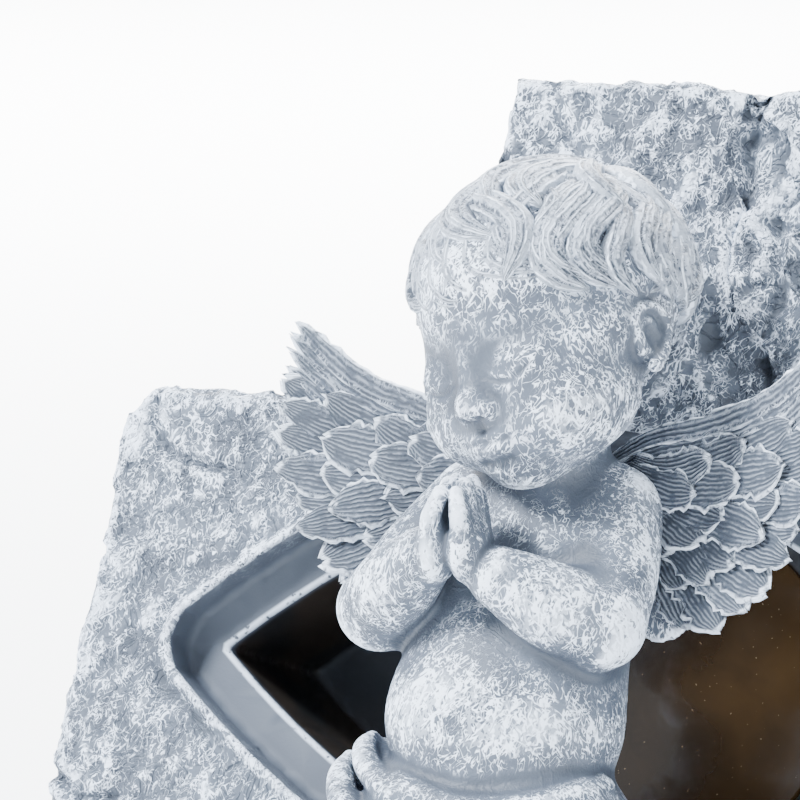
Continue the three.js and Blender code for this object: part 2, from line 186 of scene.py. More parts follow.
@dataclass
class Shell:
    """A mesh in numpy form.

    Attributes:
        places: Vertex positions, one row each.
        faces: Vertex numbers, one row of four for each face.
        marks: For each vertex the number of the strand or barb that it lies on, or 0 where there are none, how near a
            feather's edge it is, from 2 at the edge to 0, and how far the brush misses it, from 0, which also deepens
            its painted shade.
    """

    places: np.ndarray
    faces: np.ndarray
    marks: np.ndarray

    def moved(self, change: Callable[[np.ndarray], np.ndarray]) -> "Shell":
        """Returns a copy with each vertex moved by a function."""
        return Shell(change(self.places), self.faces, self.marks)

    def mirrored(self, middle: float) -> "Shell":
        """Returns the mirror image across a plane of constant x.

        Args:
            middle: The x of the plane.
        """
        places = self.places.copy()
        places[:, 0] = 2 * middle - places[:, 0]
        return Shell(places, self.faces[:, ::-1], self.marks)


def merged(shells: Sequence[Shell]) -> Shell:
    """Puts several shells into one.

    Args:
        shells: The shells, each kept closed in itself.

    Returns:
        One shell that holds them all.
    """
    starts = np.cumsum([0] + [len(shell.places) for shell in shells[:-1]])
    faces = [shell.faces + start for shell, start in zip(shells, starts)]
    places, marks = (np.concatenate([getattr(shell, part) for shell in shells]) for part in ("places", "marks"))
    return Shell(places, np.concatenate(faces), marks)


def choose(obj: bpy.types.Object) -> None:
    """Selects one object alone and makes it active.

    Args:
        obj: The object.
    """
    bpy.ops.object.select_all(action="DESELECT")
    obj.select_set(True)
    bpy.context.view_layer.objects.active = obj


def mesh_object(name: str, shell: Shell) -> bpy.types.Object:
    """Makes a smooth-shaded object of a shell given in millimetres.

    Args:
        name: The object's name.
        shell: The mesh, in the part's frame.

    Returns:
        The new object, at the origin.
    """
    mesh = bpy.data.meshes.new(name)
    mesh.from_pydata((shell.places / MM_PER_METRE).tolist(), [], shell.faces.tolist())
    mesh.validate()
    obj = bpy.data.objects.new(name, mesh)
    bpy.context.scene.collection.objects.link(obj)
    choose(obj)
    bpy.ops.object.shade_smooth()
    return obj


def apply_modifier(obj: bpy.types.Object, kind: str, **settings: object) -> None:
    """Adds a modifier and applies it.

    Args:
        obj: The object to change.
        kind: The modifier's type.
        settings: The modifier's settings.
    """
    choose(obj)
    bpy.ops.object.modifier_add(type=kind)
    modifier = obj.modifiers[-1]
    for key, value in settings.items():
        setattr(modifier, key, value)
    bpy.ops.object.modifier_apply(modifier=modifier.name)


def thin_to(obj: bpy.types.Object, triangles: int) -> None:
    """Takes triangles from an object's flattest parts until few enough are left.

    Args:
        obj: The object to thin.
        triangles: How many it may keep.
    """
    count = sum(len(face.vertices) - 2 for face in obj.data.polygons)
    if count > triangles:
        apply_modifier(obj, "DECIMATE", ratio=triangles / count)


def vertex_rows(obj: bpy.types.Object, key: str) -> np.ndarray:
    """Reads one vector of each vertex.

    Args:
        obj: The object.
        key: The vector's name, as co or normal.

    Returns:
        One row for each vertex, in Blender's own units.
    """
    flat = np.zeros(len(obj.data.vertices) * 3, np.float32)
    obj.data.vertices.foreach_get(key, flat)
    return flat.reshape(-1, 3).astype(float)


def places_of(obj: bpy.types.Object) -> np.ndarray:
    """Returns an object's vertex positions in millimetres."""
    return vertex_rows(obj, "co") * MM_PER_METRE


def set_places(obj: bpy.types.Object, places: np.ndarray) -> None:
    """Writes an object's vertex positions, given in millimetres."""
    obj.data.vertices.foreach_set("co", (places / MM_PER_METRE).astype(np.float32).ravel())
    obj.data.update()


def set_mark(obj: bpy.types.Object, mark: Mark, values: np.ndarray) -> None:
    """Writes one value for each vertex as a point attribute."""
    layer = obj.data.attributes.new(mark.value, "FLOAT", "POINT")
    layer.data.foreach_set("value", values.astype(np.float32))


def spread(obj: bpy.types.Object, values: np.ndarray, rounds: int) -> np.ndarray:
    """Averages rows of values over neighbouring vertices.

    Args:
        obj: The object whose edges say which vertices are neighbours.
        values: One row for each vertex.
        rounds: How many times to average.

    Returns:
        The averaged rows.
    """
    ends = np.zeros(len(obj.data.edges) * 2, np.int32)
    obj.data.edges.foreach_get("vertices", ends)
    first, second = ends.reshape(-1, 2).T
    count = np.bincount(ends, minlength=len(values)).astype(float)
    for _ in range(rounds):
        size = len(values)
        sums = [np.bincount(first, row[second], size) + np.bincount(second, row[first], size) for row in values.T]
        values = (values + np.stack(sums, axis=1)) / (count + 1)[:, None]
    return values


def mark_relief(obj: bpy.types.Object, reach: float, forms: int, sunk: np.ndarray | float = 0.0) -> None:
    """Marks how far each vertex stands out of its surroundings, 0.5 being level.

    Args:
        obj: The object to mark.
        reach: The height in millimetres that counts as fully raised.
        forms: How many times to average for the large forms, or 0 to leave them out.
        sunk: What is taken off each vertex's mark.
    """
    places, normals = places_of(obj), vertex_rows(obj, "normal")
    near = ((places - spread(obj, places, 3)) * normals).sum(1)
    wide = ((places - spread(obj, places, 14)) * normals).sum(1)
    broad = ((places - spread(obj, places, forms)) * normals).sum(1) if forms else 0.0
    height = near * 1.6 + wide * 0.7 + broad * 0.28
    raised = np.maximum(0.5 + 0.5 * np.clip((height - np.median(height)) / reach, -1, 1) - sunk, 0)
    set_mark(obj, Mark.RAISED, spread(obj, raised[:, None], 1)[:, 0])


# Distance fields


def smooth_min(first: np.ndarray, second: np.ndarray, soft: float) -> np.ndarray:
    """Returns the lower of two fields, rounded off where they meet."""
    share = np.clip(0.5 + 0.5 * (second - first) / soft, 0, 1)
    return second + (first - second) * share - soft * share * (1 - share)


def curve_through(points: Rows, count: int) -> np.ndarray:
    """Samples a smooth curve that passes through given rows.

    Args:
        points: The rows to pass through, of any width.
        count: How many samples to return.

    Returns:
        The samples, one row each.
    """
    rows = np.array(points, float)
    rows = np.concatenate([[2 * rows[0] - rows[1]], rows, [2 * rows[-1] - rows[-2]]])
    spans = len(rows) - 3
    slots = np.linspace(0, spans - 1e-6, count)
    index = slots.astype(int)
    share = (slots - index)[:, None]
    before, start, end, after = (rows[index + k] for k in range(4))
    return 0.5 * (
        2 * start
        + (end - before) * share
        + (2 * before - 5 * start + 4 * end - after) * share**2
        + (3 * start - before - 3 * end + after) * share**3
    )


class Field:
    """A form sculpted as signed distances on a grid, negative inside, in millimetres."""

    def __init__(self, low: Triple, high: Triple, step: float) -> None:
        """Makes an empty field.

        Args:
            low: Lowest corner of the grid.
            high: Highest corner of the grid.
            step: Distance between grid points.
        """
        self.step = step
        self.axes = [np.arange(a, b + step, step) for a, b in zip(low, high)]
        self.values = np.full([len(axis) for axis in self.axes], 9.0, np.float32)

    def blend(self, low: Row, high: Row, distance: Distance, soft: float, cut: bool) -> None:
        """Adds or carves a form.

        Args:
            low: Lowest corner of the form.
            high: Highest corner of the form.
            distance: Gives the distance to the form at rows of positions.
            soft: The radius of the blend.
            cut: Whether the form is carved out.
        """
        pad = soft + 2 * self.step
        block = tuple(
            slice(int(np.searchsorted(axis, a - pad)), int(np.searchsorted(axis, b + pad)))
            for axis, a, b in zip(self.axes, low, high)
        )
        if any(part.start >= part.stop for part in block):
            return
        grids = np.meshgrid(*(axis[part] for axis, part in zip(self.axes, block)), indexing="ij")
        form = distance(np.stack(grids, -1))
        now = self.values[block]
        self.values[block] = -smooth_min(-now, form, soft) if cut else smooth_min(now, form, soft)

    def ball(self, centre: Row, radii: Row, turn: Row = (0, 0, 0), soft: float = 3.0, cut: bool = False) -> None:
        """Blends in an ellipsoid.

        Args:
            centre: Its centre.
            radii: Its half-axes.
            turn: Its rotation in degrees about x, y and z.
            soft: The radius of the blend.
            cut: Whether it is carved out.
        """
        middle, half = np.array(centre, float), np.array(radii, float)
        rotation = np.array(Euler([math.radians(angle) for angle in turn]).to_matrix())

        def distance(places: np.ndarray) -> np.ndarray:
            """Returns about how far each place is from the ellipsoid.

            Args:
                places: Positions in millimetres.
            """
            local = (places - middle) @ rotation
            near = np.linalg.norm(local / half, axis=-1)
            steep = np.linalg.norm(local / half**2, axis=-1)
            return near * (near - 1) / np.maximum(steep, 1e-6)

        reach = half.max() if any(turn) else half
        self.blend(middle - reach, middle + reach, distance, soft, cut)

    def strand(self, points: Rows, radii: Row, soft: float = 2.0, cut: bool = False) -> None:
        """Blends in a rounded strand along a smooth curve.

        Args:
            points: The points that the curve passes through.
            radii: The strand's radius at each point.
            soft: The radius of the blend.
            cut: Whether it is carved out.
        """
        rows = [[*place, radius] for place, radius in zip(points, radii)]
        samples = curve_through(rows, 2 if len(rows) == 2 else 5 * len(rows))
        wide = samples[:, 3].max()

        def distance(places: np.ndarray) -> np.ndarray:
            """Returns how far each place is from the strand.

            Args:
                places: Positions in millimetres.
            """
            best = None
            for start, end in zip(samples[:-1], samples[1:]):
                along = end[:3] - start[:3]
                offset = places - start[:3]
                share = np.clip(offset @ along / max(along @ along, 1e-9), 0, 1)
                gap = np.linalg.norm(offset - share[..., None] * along, axis=-1)
                gap -= start[3] + share * (end[3] - start[3])
                best = gap if best is None else np.minimum(best, gap)
            return best

        self.blend(samples[:, :3].min(0) - wide, samples[:, :3].max(0) + wide, distance, soft, cut)

    def front(self, x: float, z: float) -> float:
        """Returns the y of the form's foremost surface at a place seen from the front.

        Args:
            x: Where to look, across.
            z: Where to look, upwards.
        """
        axes = (self.axes[0], x), (self.axes[2], z)
        column_x, column_z = (min(int(np.searchsorted(axis, at)), len(axis) - 1) for axis, at in axes)
        column = self.values[column_x, :, column_z]
        inside = np.flatnonzero(column < 0)
        if not len(inside):
            return 0.0
        at = max(int(inside[0]), 1)
        before, after = float(column[at - 1]), float(column[at])
        return float(self.axes[1][at - 1] + self.step * before / (before - after))

    def on_front(self, line: Rows, lift: float) -> list[Triple]:
        """Lays points given as x and z on the form's front."""
        return [(x, self.front(x, z) - lift, z) for x, z in line]

    def front_strand(self, line: Rows, radii: Row, lift: float, soft: float, cut: bool = False) -> None:
        """Blends in a strand whose line is given by x and z, laid on the form's front."""
        self.strand(self.on_front(line, lift), radii, soft, cut)

    def shell(self) -> Shell:
        """Returns the surface where the distance is nought, as a closed mesh."""
        values = self.values
        inside = values < 0
        cells = tuple(size - 1 for size in values.shape)
        corner = {key: tuple(slice(at, at + size) for at, size in zip(key, cells)) for key in np.ndindex(2, 2, 2)}
        total = sum(inside[part].astype(np.int8) for part in corner.values())
        mixed = (total > 0) & (total < 8)
        numbers = np.full(cells, -1)
        numbers[mixed] = np.arange(int(mixed.sum()))
        where = np.argwhere(mixed)
        centre, hits = np.zeros((len(where), 3)), np.zeros(len(where))
        at_corner = {key: values[part][mixed] for key, part in corner.items()}
        for key, low in at_corner.items():
            for axis in range(3):
                if key[axis]:
                    continue
                other = tuple(int(key[a] or a == axis) for a in range(3))
                high = at_corner[other]
                crossed = (low < 0) != (high < 0)
                share = np.where(crossed, low / np.where(crossed, low - high, 1), 0)
                offset = np.array(key, float) + share[:, None] * np.eye(3)[axis]
                centre += offset * crossed[:, None]
                hits += crossed
        places = where + centre / hits[:, None]
        places = places * self.step + np.array([axis[0] for axis in self.axes])
        faces = []
        for axis in range(3):
            first, second = np.eye(3, dtype=int)[(axis + 1) % 3], np.eye(3, dtype=int)[(axis + 2) % 3]
            low = inside.take(range(cells[axis]), axis)
            high = inside.take(range(1, cells[axis] + 1), axis)
            edges = np.argwhere(low != high)
            keep = (edges @ first > 0) & (edges @ second > 0)
            keep &= (edges @ first < cells[(axis + 1) % 3]) & (edges @ second < cells[(axis + 2) % 3])
            edges = edges[keep]
            quads = np.stack(
                [numbers[tuple((edges - shift).T)] for shift in (first + second, second, 0 * first, first)],
                axis=1,
            )
            outward = low[tuple(edges.T)]
            faces.append(np.where(outward[:, None], quads, quads[:, ::-1]))
        return Shell(places, np.concatenate(faces), np.zeros((len(places), 3)))


# Swept shells


def swept(
    points: np.ndarray,
    facing: np.ndarray,
    section: Callable[[float, np.ndarray], np.ndarray],
    around: int,
    strands: float,
) -> Shell:
    """Sweeps a closed section along a line.

    Args:
        points: The line's points.
        facing: The way that the broad side looks at each point.
        section: Gives rows of sideways, outward and forward offsets for a share of the length
            and the angles round the section.
        around: Points in the section.
        strands: Strands or barbs on each side of the middle.

    Returns:
        A shell whose two ends are closed.
    """
    along = np.gradient(points, axis=0)
    along /= np.linalg.norm(along, axis=1)[:, None]
    out = facing - (facing * along).sum(1)[:, None] * along
    out /= np.linalg.norm(out, axis=1)[:, None]
    side = np.cross(along, out)
    angles = np.arange(around) / around * 2 * math.pi
    rings = []
    for i, place in enumerate(points):
        offsets = section(i / (len(points) - 1), angles)
        rings.append(place + offsets @ np.array([side[i], out[i], along[i]]))
    count = len(points)
    number = np.arange(count * around).reshape(count, around)
    following = np.roll(number, -1, axis=1)
    faces = np.stack([number[:-1], number[1:], following[1:], following[:-1]], -1).reshape(-1, 4)
    half = around // 2
    caps = []
    for ring, turned in ((number[0], False), (number[-1], True)):
        for k in range(half - 1):
            quad = [ring[k], ring[k + 1], ring[around - 2 - k], ring[around - 1 - k]]
            caps.append(quad[::-1] if turned else quad)
    marks = np.zeros((count * around, 3))
    marks[:, 0] = np.tile(20 + np.cos(angles) * strands, count)
    return Shell(np.concatenate(rings), np.concatenate([faces, np.array(caps)]), marks)


@dataclass
class Feather:
    """One feather with a shaft, fanned barbs and a ragged edge.

    Attributes:
        line: Points from the root to the tip.
        width: Its greatest width.
        thickness: Its thickness.
        barbs: Barbs on each side of the shaft.
        sunk: How far the brush misses its tip, which also darkens it with painted shade.
        seed: Varies its ragged edge.
    """

    line: np.ndarray
    width: float
    thickness: float
    barbs: float
    sunk: float
    seed: int

    def shell(self) -> Shell:
        """Returns the feather's mesh."""
        length = float(np.linalg.norm(np.diff(self.line, axis=0), axis=1).sum())
        rings = int(np.clip(length / 1.15, 16, 34))
        points = curve_through(self.line, rings)
        facing = np.tile([0.0, -1.0, 0.0], (rings, 1))
        random = np.random.default_rng(self.seed)
        notches = random.uniform(0.7, 1.06, (2, 400))
        ragged = random.uniform(-1.7, 1.0, 9)
        tilt = random.uniform(-0.12, 0.12)
        edges = []

        def section(share: float, angles: np.ndarray) -> np.ndarray:
            """Returns the feather's section at a share of its length.

            Args:
                share: Share of the length.
                angles: Angles round the section.
            """
            spread_out = min(1.0, 0.45 + 1.0 * share)
            tip = max(1 - max(0.0, (share - 0.68) / 0.325) ** 2.4, 0.0) ** 0.6
            cosine, sine = np.cos(angles), np.sin(angles)
            edge = notches[(cosine > 0).astype(int), int(share * length / 1.5)]
            half = max(self.width / 2 * spread_out * tip, 0.3) * np.where(np.abs(cosine) > 0.85, edge, 1.0)
            rise = self.thickness / 2 * np.sign(sine) * np.abs(sine) ** 0.6 * max(tip, 0.4)
            shaft = 0.5 * np.exp(-((cosine / 0.2) ** 2)) * (1 - share * 0.6)
            combs = 0.22 * np.cos(cosine * 9)
            rise += (sine > 0.2) * (shaft + combs) * tip + tilt * half * cosine
            forward = np.interp(cosine, np.linspace(-1, 1, 9), ragged) * max(0.0, share - 0.6) * 2.5
            edges.append(2 - np.minimum(half * (1 - np.abs(cosine)), (1 - share) * length * 0.8))
            return np.stack([half * cosine, rise, forward], axis=1)

        shell = swept(points, facing, section, 14, self.barbs)
        shell.marks[:, 1] = np.maximum(np.concatenate(edges), 0)
        # Towards the root the brush misses more and the painted shade of the overlapping feathers deepens.
        shell.marks[:, 2] = np.repeat(self.sunk + 0.38 * np.linspace(1, 0, rings), 14)
        return shell


@dataclass
class Lock:
    """One lock of hair with combed strands.

    Attributes:
        line: Points from the root to the tip.
        centre: The middle of the head, which the lock lies away from.
        width: Its greatest width.
        thickness: Its greatest thickness.
        strands: Strands on each side of its middle.
    """

    line: np.ndarray
    centre: np.ndarray
    width: float
    thickness: float
    strands: float

    def shell(self) -> Shell:
        """Returns the lock's mesh."""
        points = curve_through(self.line, 21)
        facing = points - self.centre

        def section(share: float, angles: np.ndarray) -> np.ndarray:
            """Returns the lock's section at a share of its length.

            Args:
                share: Share of the length.
                angles: Angles round the section.
            """
            body = math.sin(math.pi * min(share * 0.6 + 0.12, 1.0)) ** 0.7
            tip = max(1 - max(0.0, (share - 0.62) / 0.382) ** 2, 0.0) ** 0.75
            full = max(body * tip, 0.05)
            cosine, sine = np.cos(angles), np.sin(angles)
            ripple = 1 + 0.24 * np.cos(cosine * 8.2) * (sine > 0.1)
            rise = self.thickness / 2 * sine * ripple * (0.4 + 0.6 * full)
            return np.stack([self.width / 2 * full * cosine, rise * min(1.0, full * 3), 0 * cosine], axis=1)

        return swept(points, facing, section, 22, self.strands)


# The cherub


@dataclass
class Head:
    """The cherub's head, in a frame of its own: x to its left, y back, z up.

    Attributes:
        skull_centre: Centre of the skull.
        skull_radii: Half-axes of the skull.
        crown_back: Degrees by which the hair's crown lies behind the top of the head.
        step: Grid step of the sculpted surface.
        seed: Varies the hair.
        hairline: Degrees around and down at which the hair ends.
        layers: For each layer of locks their count, the degrees down at their roots, by how many
            degrees they fall short of the hairline, their height and their width.
    """

    skull_centre: Triple = (0.0, 3.0, 6.0)
    skull_radii: Triple = (27.6, 30.8, 27.8)
    crown_back: float = 24.0
    step: float = 0.5
    seed: int = 11
    hairline: Rows = (
        *((-180, 120), (-140, 116), (-110, 106), (-88, 101), (-66, 96), (-44, 89), (-16, 81), (10, 77)),
        *((34, 79), (56, 86), (74, 92), (90, 96), (106, 106), (140, 118), (180, 120)),
    )
    layers: Rows = ((30, 46, -2, -0.2, 8.0), (23, 30, 4, 0.5, 8.5), (16, 12, 17, 1.0, 9.0), (10, -6, 36, 1.3, 9.5))

    def sculpt(self) -> Shell:
        """Returns the skull, face and ears as one mesh."""
        field = Field((-37, -42, -41), (37, 41, 40), self.step)
        field.ball(self.skull_centre, self.skull_radii, soft=1)
        field.ball((0, -13, 12), (20, 16.5, 17), soft=7)
        field.ball((0, 6, 11.5), (27.2, 28.6, 24.8), soft=4)
        field.ball((0, -11, -13), (23.5, 18.3, 21.5), soft=6)
        field.ball((0, -7.5, -4), (26, 19, 13), soft=8)
        field.ball((0, -19.5, -28.5), (8.5, 7.8, 6.8), soft=5)
        for side in (-1, 1):
            field.ball((12.6 * side, -17, -16.5), (11.8, 11.2, 11.2), soft=6)
            field.ball((14 * side, -8, -18), (9.5, 12, 10), soft=6)
            field.ball((10.8 * side, -36.4, -3.2), (9.5, 6.6, 5.2), soft=5, cut=True)
        self.nose_and_mouth(field)
        for side in (-1, 1):
            self.eye(field, side)
            self.ear(field, side)
        return field.shell()

    def nose_and_mouth(self, field: Field) -> None:
        """Adds a small upturned nose and a calm closed mouth.

        Args:
            field: The form so far.
        """
        field.strand([(0, -26.8, 1), (0, -28.4, -6), (0, -30.4, -12)], [2.8, 2.8, 3.2], soft=4)
        field.ball((0, -31.7, -12.8), (3.3, 2.8, 2.8), soft=3)
        for side in (-1, 1):
            field.ball((3.8 * side, -29.4, -14.2), (2.4, 2.8, 2.1), soft=2.0)
            field.ball((2.0 * side, -31.6, -16.0), (0.9, 1.4, 0.8), soft=0.8, cut=True)
        field.ball((0, -22.6, -21.5), (9.5, 6.6, 6.0), soft=5.5)
        field.front_strand([(0, -17.4), (0, -19.6)], [0.8, 0.9], 0.0, 1.5, cut=True)
        for side in (-1, 1):
            upper_lip = [(0.9 * side, -20.9), (3.2 * side, -21.1), (5.8 * side, -22.0)]
            field.front_strand(upper_lip, [1.1, 1.0, 0.45], -0.6, 1.3)
        field.front_strand([(-4.0, -23.3), (0, -24.0), (4.0, -23.3)], [0.8, 1.35, 0.8], -0.7, 1.6)
        mouth = [(-6.4, -21.9), (-3.2, -22.3), (0, -22.0), (3.2, -22.3), (6.4, -21.9)]
        field.front_strand(mouth, [0.8, 0.5, 0.55, 0.5, 0.8], 0.1, 0.7, cut=True)
        field.front_strand([(-4, -27.0), (0, -27.5), (4, -27.0)], [0.6, 1.0, 0.6], 0.0, 2.2, cut=True)

    def eye(self, field: Field, side: int) -> None:
        """Adds a closed eye: a domed lid and a fine line of lashes.

        Args:
            field: The form so far.
            side: 1 for the cherub's left, -1 for its right.
        """
        field.ball((10.8 * side, -21.2, -5.6), (8.4, 7.4, 6.2), soft=3)
        lashes = [(5.2, -6.6), (7.8, -8.2), (10.9, -8.8), (14.0, -8.1), (16.6, -6.2)]
        for rise, radii, lift, soft, cut in (
            (-1.7, [0.7, 1.1, 1.3, 1.1, 0.7], -0.9, 2.0, False),
            (1.0, [0.6, 0.95, 1.05, 0.95, 0.6], -0.6, 1.2, False),
            (0.0, [0.5, 0.75, 0.85, 0.75, 0.5], 0.15, 0.5, True),
        ):
            field.front_strand([(x * side, z + rise) for x, z in lashes], radii, lift, soft, cut)

    def ear(self, field: Field, side: int) -> None:
        """Adds an ear with a rolled rim, from the brow's height down to the nose's foot.

        Args:
            field: The form so far.
            side: 1 for the cherub's left, -1 for its right.
        """
        x = 25.4 * side
        field.ball((x, 2.0, -8.0), (3.2, 5.0, 7.2), (12, 0, 14 * side), soft=2.0)
        field.ball((x + 3.2 * side, 1.4, -8.2), (1.7, 2.2, 3.5), (12, 0, 0), soft=1.0, cut=True)
        rim = [(-2.2, -6.4), (-2.0, -2.8), (1.4, -0.8), (5.0, -2.4), (6.2, -7.2), (4.0, -12.0), (0.4, -14.6)]
        line = [(x + (2.4 + 0.12 * (y - 2)) * side, y, z) for y, z in rim]
        field.strand(line, [0.9, 1.2, 1.3, 1.35, 1.3, 1.4, 1.9], soft=0.8)
        field.strand([(x + 2.0 * side, -2.4, -8.0), (x + 1.8 * side, -2.0, -11.0)], [1.1, 1.0], soft=0.8)

    def on_skull(self, around: float, down: float, lift: float, back: float = 0.0) -> np.ndarray:
        """Returns a point over the skull.

        Args:
            around: Degrees from the front towards the cherub's left.
            down: Degrees from the pole.
            lift: Millimetres above the skull.
            back: Degrees by which the pole lies behind the top of the head.
        """
        a, d, b = (math.radians(angle) for angle in (around, down, back))
        way = np.array([math.sin(a) * math.sin(d), -math.cos(a) * math.sin(d), math.cos(d)])
        way = np.array([[1, 0, 0], [0, math.cos(b), math.sin(b)], [0, -math.sin(b), math.cos(b)]]) @ way
        return way * (np.array(self.skull_radii) + lift) + np.array(self.skull_centre)

    def lock(self, start: Row, end: Row, sway: float, width: float, lift: float, random: np.random.Generator) -> Lock:
        """Returns a wavy lock between two places on the skull.

        Args:
            start: Degrees around and down at the root.
            end: Degrees around and down at the tip.
            sway: Degrees by which the middle waves to the side.
            width: Width of the lock.
            lift: Height above the skull.
            random: Source of small differences.
        """
        first = self.on_skull(*start, 0, self.crown_back) - self.skull_centre
        last = self.on_skull(*end, 0) - self.skull_centre
        axis = np.cross(first, last)
        axis /= max(np.linalg.norm(axis), 1e-6)
        phase = random.uniform(-0.4, 0.4)
        width *= random.uniform(0.8, 1.15)
        lift += random.uniform(-0.9, 1.1)
        line = []
        for share in np.linspace(0, 1, 7):
            mid = first * (1 - share) + last * share
            mid += axis * np.linalg.norm(mid) * math.radians(sway) * math.sin(share * math.pi * 2.1 + phase)
            rise = lift + 0.6 * math.sin(share * math.pi) + 0.9 * share
            reach = np.linalg.norm(mid / (np.array(self.skull_radii) + rise))
            line.append(mid / reach + self.skull_centre)
        thickness = random.uniform(5.2, 7.0)
        return Lock(np.array(line), np.array(self.skull_centre), width, thickness, width / 2.5)

    def hair(self) -> list[Shell]:
        """Returns short wavy locks combed from the crown to the hairline."""
        random = np.random.default_rng(self.seed)
        angles, drops = np.array(self.hairline, float).T
        locks = []
        for layer, (count, start_down, shorter, lift, width) in enumerate(self.layers):
            for i in range(count):
                around = -180 + 360 * (i + 0.5 * (layer % 2)) / count + random.uniform(-3, 3)
                drop = float(np.interp(around, angles, drops)) - shorter + random.uniform(-7, 3)
                fringe, temple = (math.exp(-(((around - at) / wide) ** 2)) for at, wide in ((8, 58), (-86, 24)))
                sweep_by = 56 * fringe - 14 * temple + 6
                side = 0.8 if abs(around) > 70 else 1.0
                start = (around - sweep_by, start_down + random.uniform(-3, 3))
                sway = random.uniform(8, 15) * (-1 if random.uniform() < 0.2 else 1)
                locks.append(self.lock(start, (around, drop), sway, width * side, lift, random).shell())
        return locks


@dataclass
class Wing:
    """The cherub's left wing, with x measured outwards; the right one mirrors it.

    Attributes:
        seed: Varies the feathers.
        sunk: How far the brush misses a feather's tip, which also darkens it with painted shade.
    """

    seed: int = 5
    sunk: float = 0.36

    @staticmethod
    def place(x: float, z: float, lift: float) -> Triple:
        """Returns a point of the wing, which bows forwards as it reaches out."""
        return (x, 14 - 0.0035 * x * x - 0.05 * x - lift, z)

    def row(self, roots: Rows, tips: Rows, count: int, width: float, lift: float) -> list[Shell]:
        """Returns a row of feathers.

        Args:
            roots: The first and last root, as x and z.
            tips: The tips, as x and z, from the leading edge down.
            count: How many feathers.
            width: The feathers' width.
            lift: How far in front of the row behind they lie.
        """
        random = np.random.default_rng(self.seed + count)
        ends = curve_through(tips, count)
        feathers = []
        for i, end in enumerate(ends):
            share = i / (count - 1)
            root = np.array(roots[0]) * (1 - share) + np.array(roots[1]) * share
            end = end + random.uniform(-1.2, 1.2, 2)
            bend = 3.0 - 3.6 * share
            points = []
            for s in (0, 0.25, 0.5, 0.75, 1):
                x, z = root * (1 - s) + end * s
                z -= bend * math.sin(s * math.pi)
                points.append(self.place(x, z, lift + 1.2 * (1 - s) + 0.7 * (i % 2) + 0.8 * s * s))
            seed = self.seed * 31 + i + 7 * count
            wide = width * random.uniform(0.9, 1.1)
            feathers.append(Feather(np.array(points), wide, 1.5, 5.5, self.sunk, seed).shell())
        return feathers

    def blade(self) -> list[Shell]:
        """Returns the long parallel feathers along the leading edge, up to the tip."""
        shells = []
        for i in range(6):
            low = 2.9 * i
            tip = (65.8 + 0.9 * i - 0.14 * i * i, 112.5 - 3.4 * i)
            line = [(8, 84 - 0.8 * low), (20, 91.5 - low), (36, 95.0 - low), (52, 101.0 - low), tip]
            points = [self.place(x, z, 5.6 - 0.55 * i - 0.05 * x) for x, z in line]
            shells.append(Feather(np.array(points), 7.4, 2.8, 2.6, 0.0, self.seed + 90 + i).shell())
        return shells

    def shells(self) -> list[Shell]:
        """Returns all of the wing's feathers."""
        outer = [(67.5, 99), (67.5, 90), (66, 80), (62.5, 69), (57, 60), (49.5, 52.5), (40, 48), (22, 51)]
        second = [(57.5, 95), (57.5, 84), (53.5, 72), (46, 63), (36, 57.5), (23, 58)]
        third = [(47, 91), (46, 81), (40.5, 71), (31, 66), (22, 67)]
        fourth = [(36.5, 88), (34, 79), (28, 74), (21, 75)]
        return [
            *self.row([(28, 88), (17, 74)], outer, 11, 12.8, 0.0),
            *self.row([(25, 88), (16, 76)], second, 8, 12.4, 1.9),
            *self.row([(21, 87), (15, 79)], third, 6, 12.0, 3.5),
            *self.row([(17, 86), (14, 81)], fourth, 4, 11.0, 4.9),
            *self.blade(),
        ]


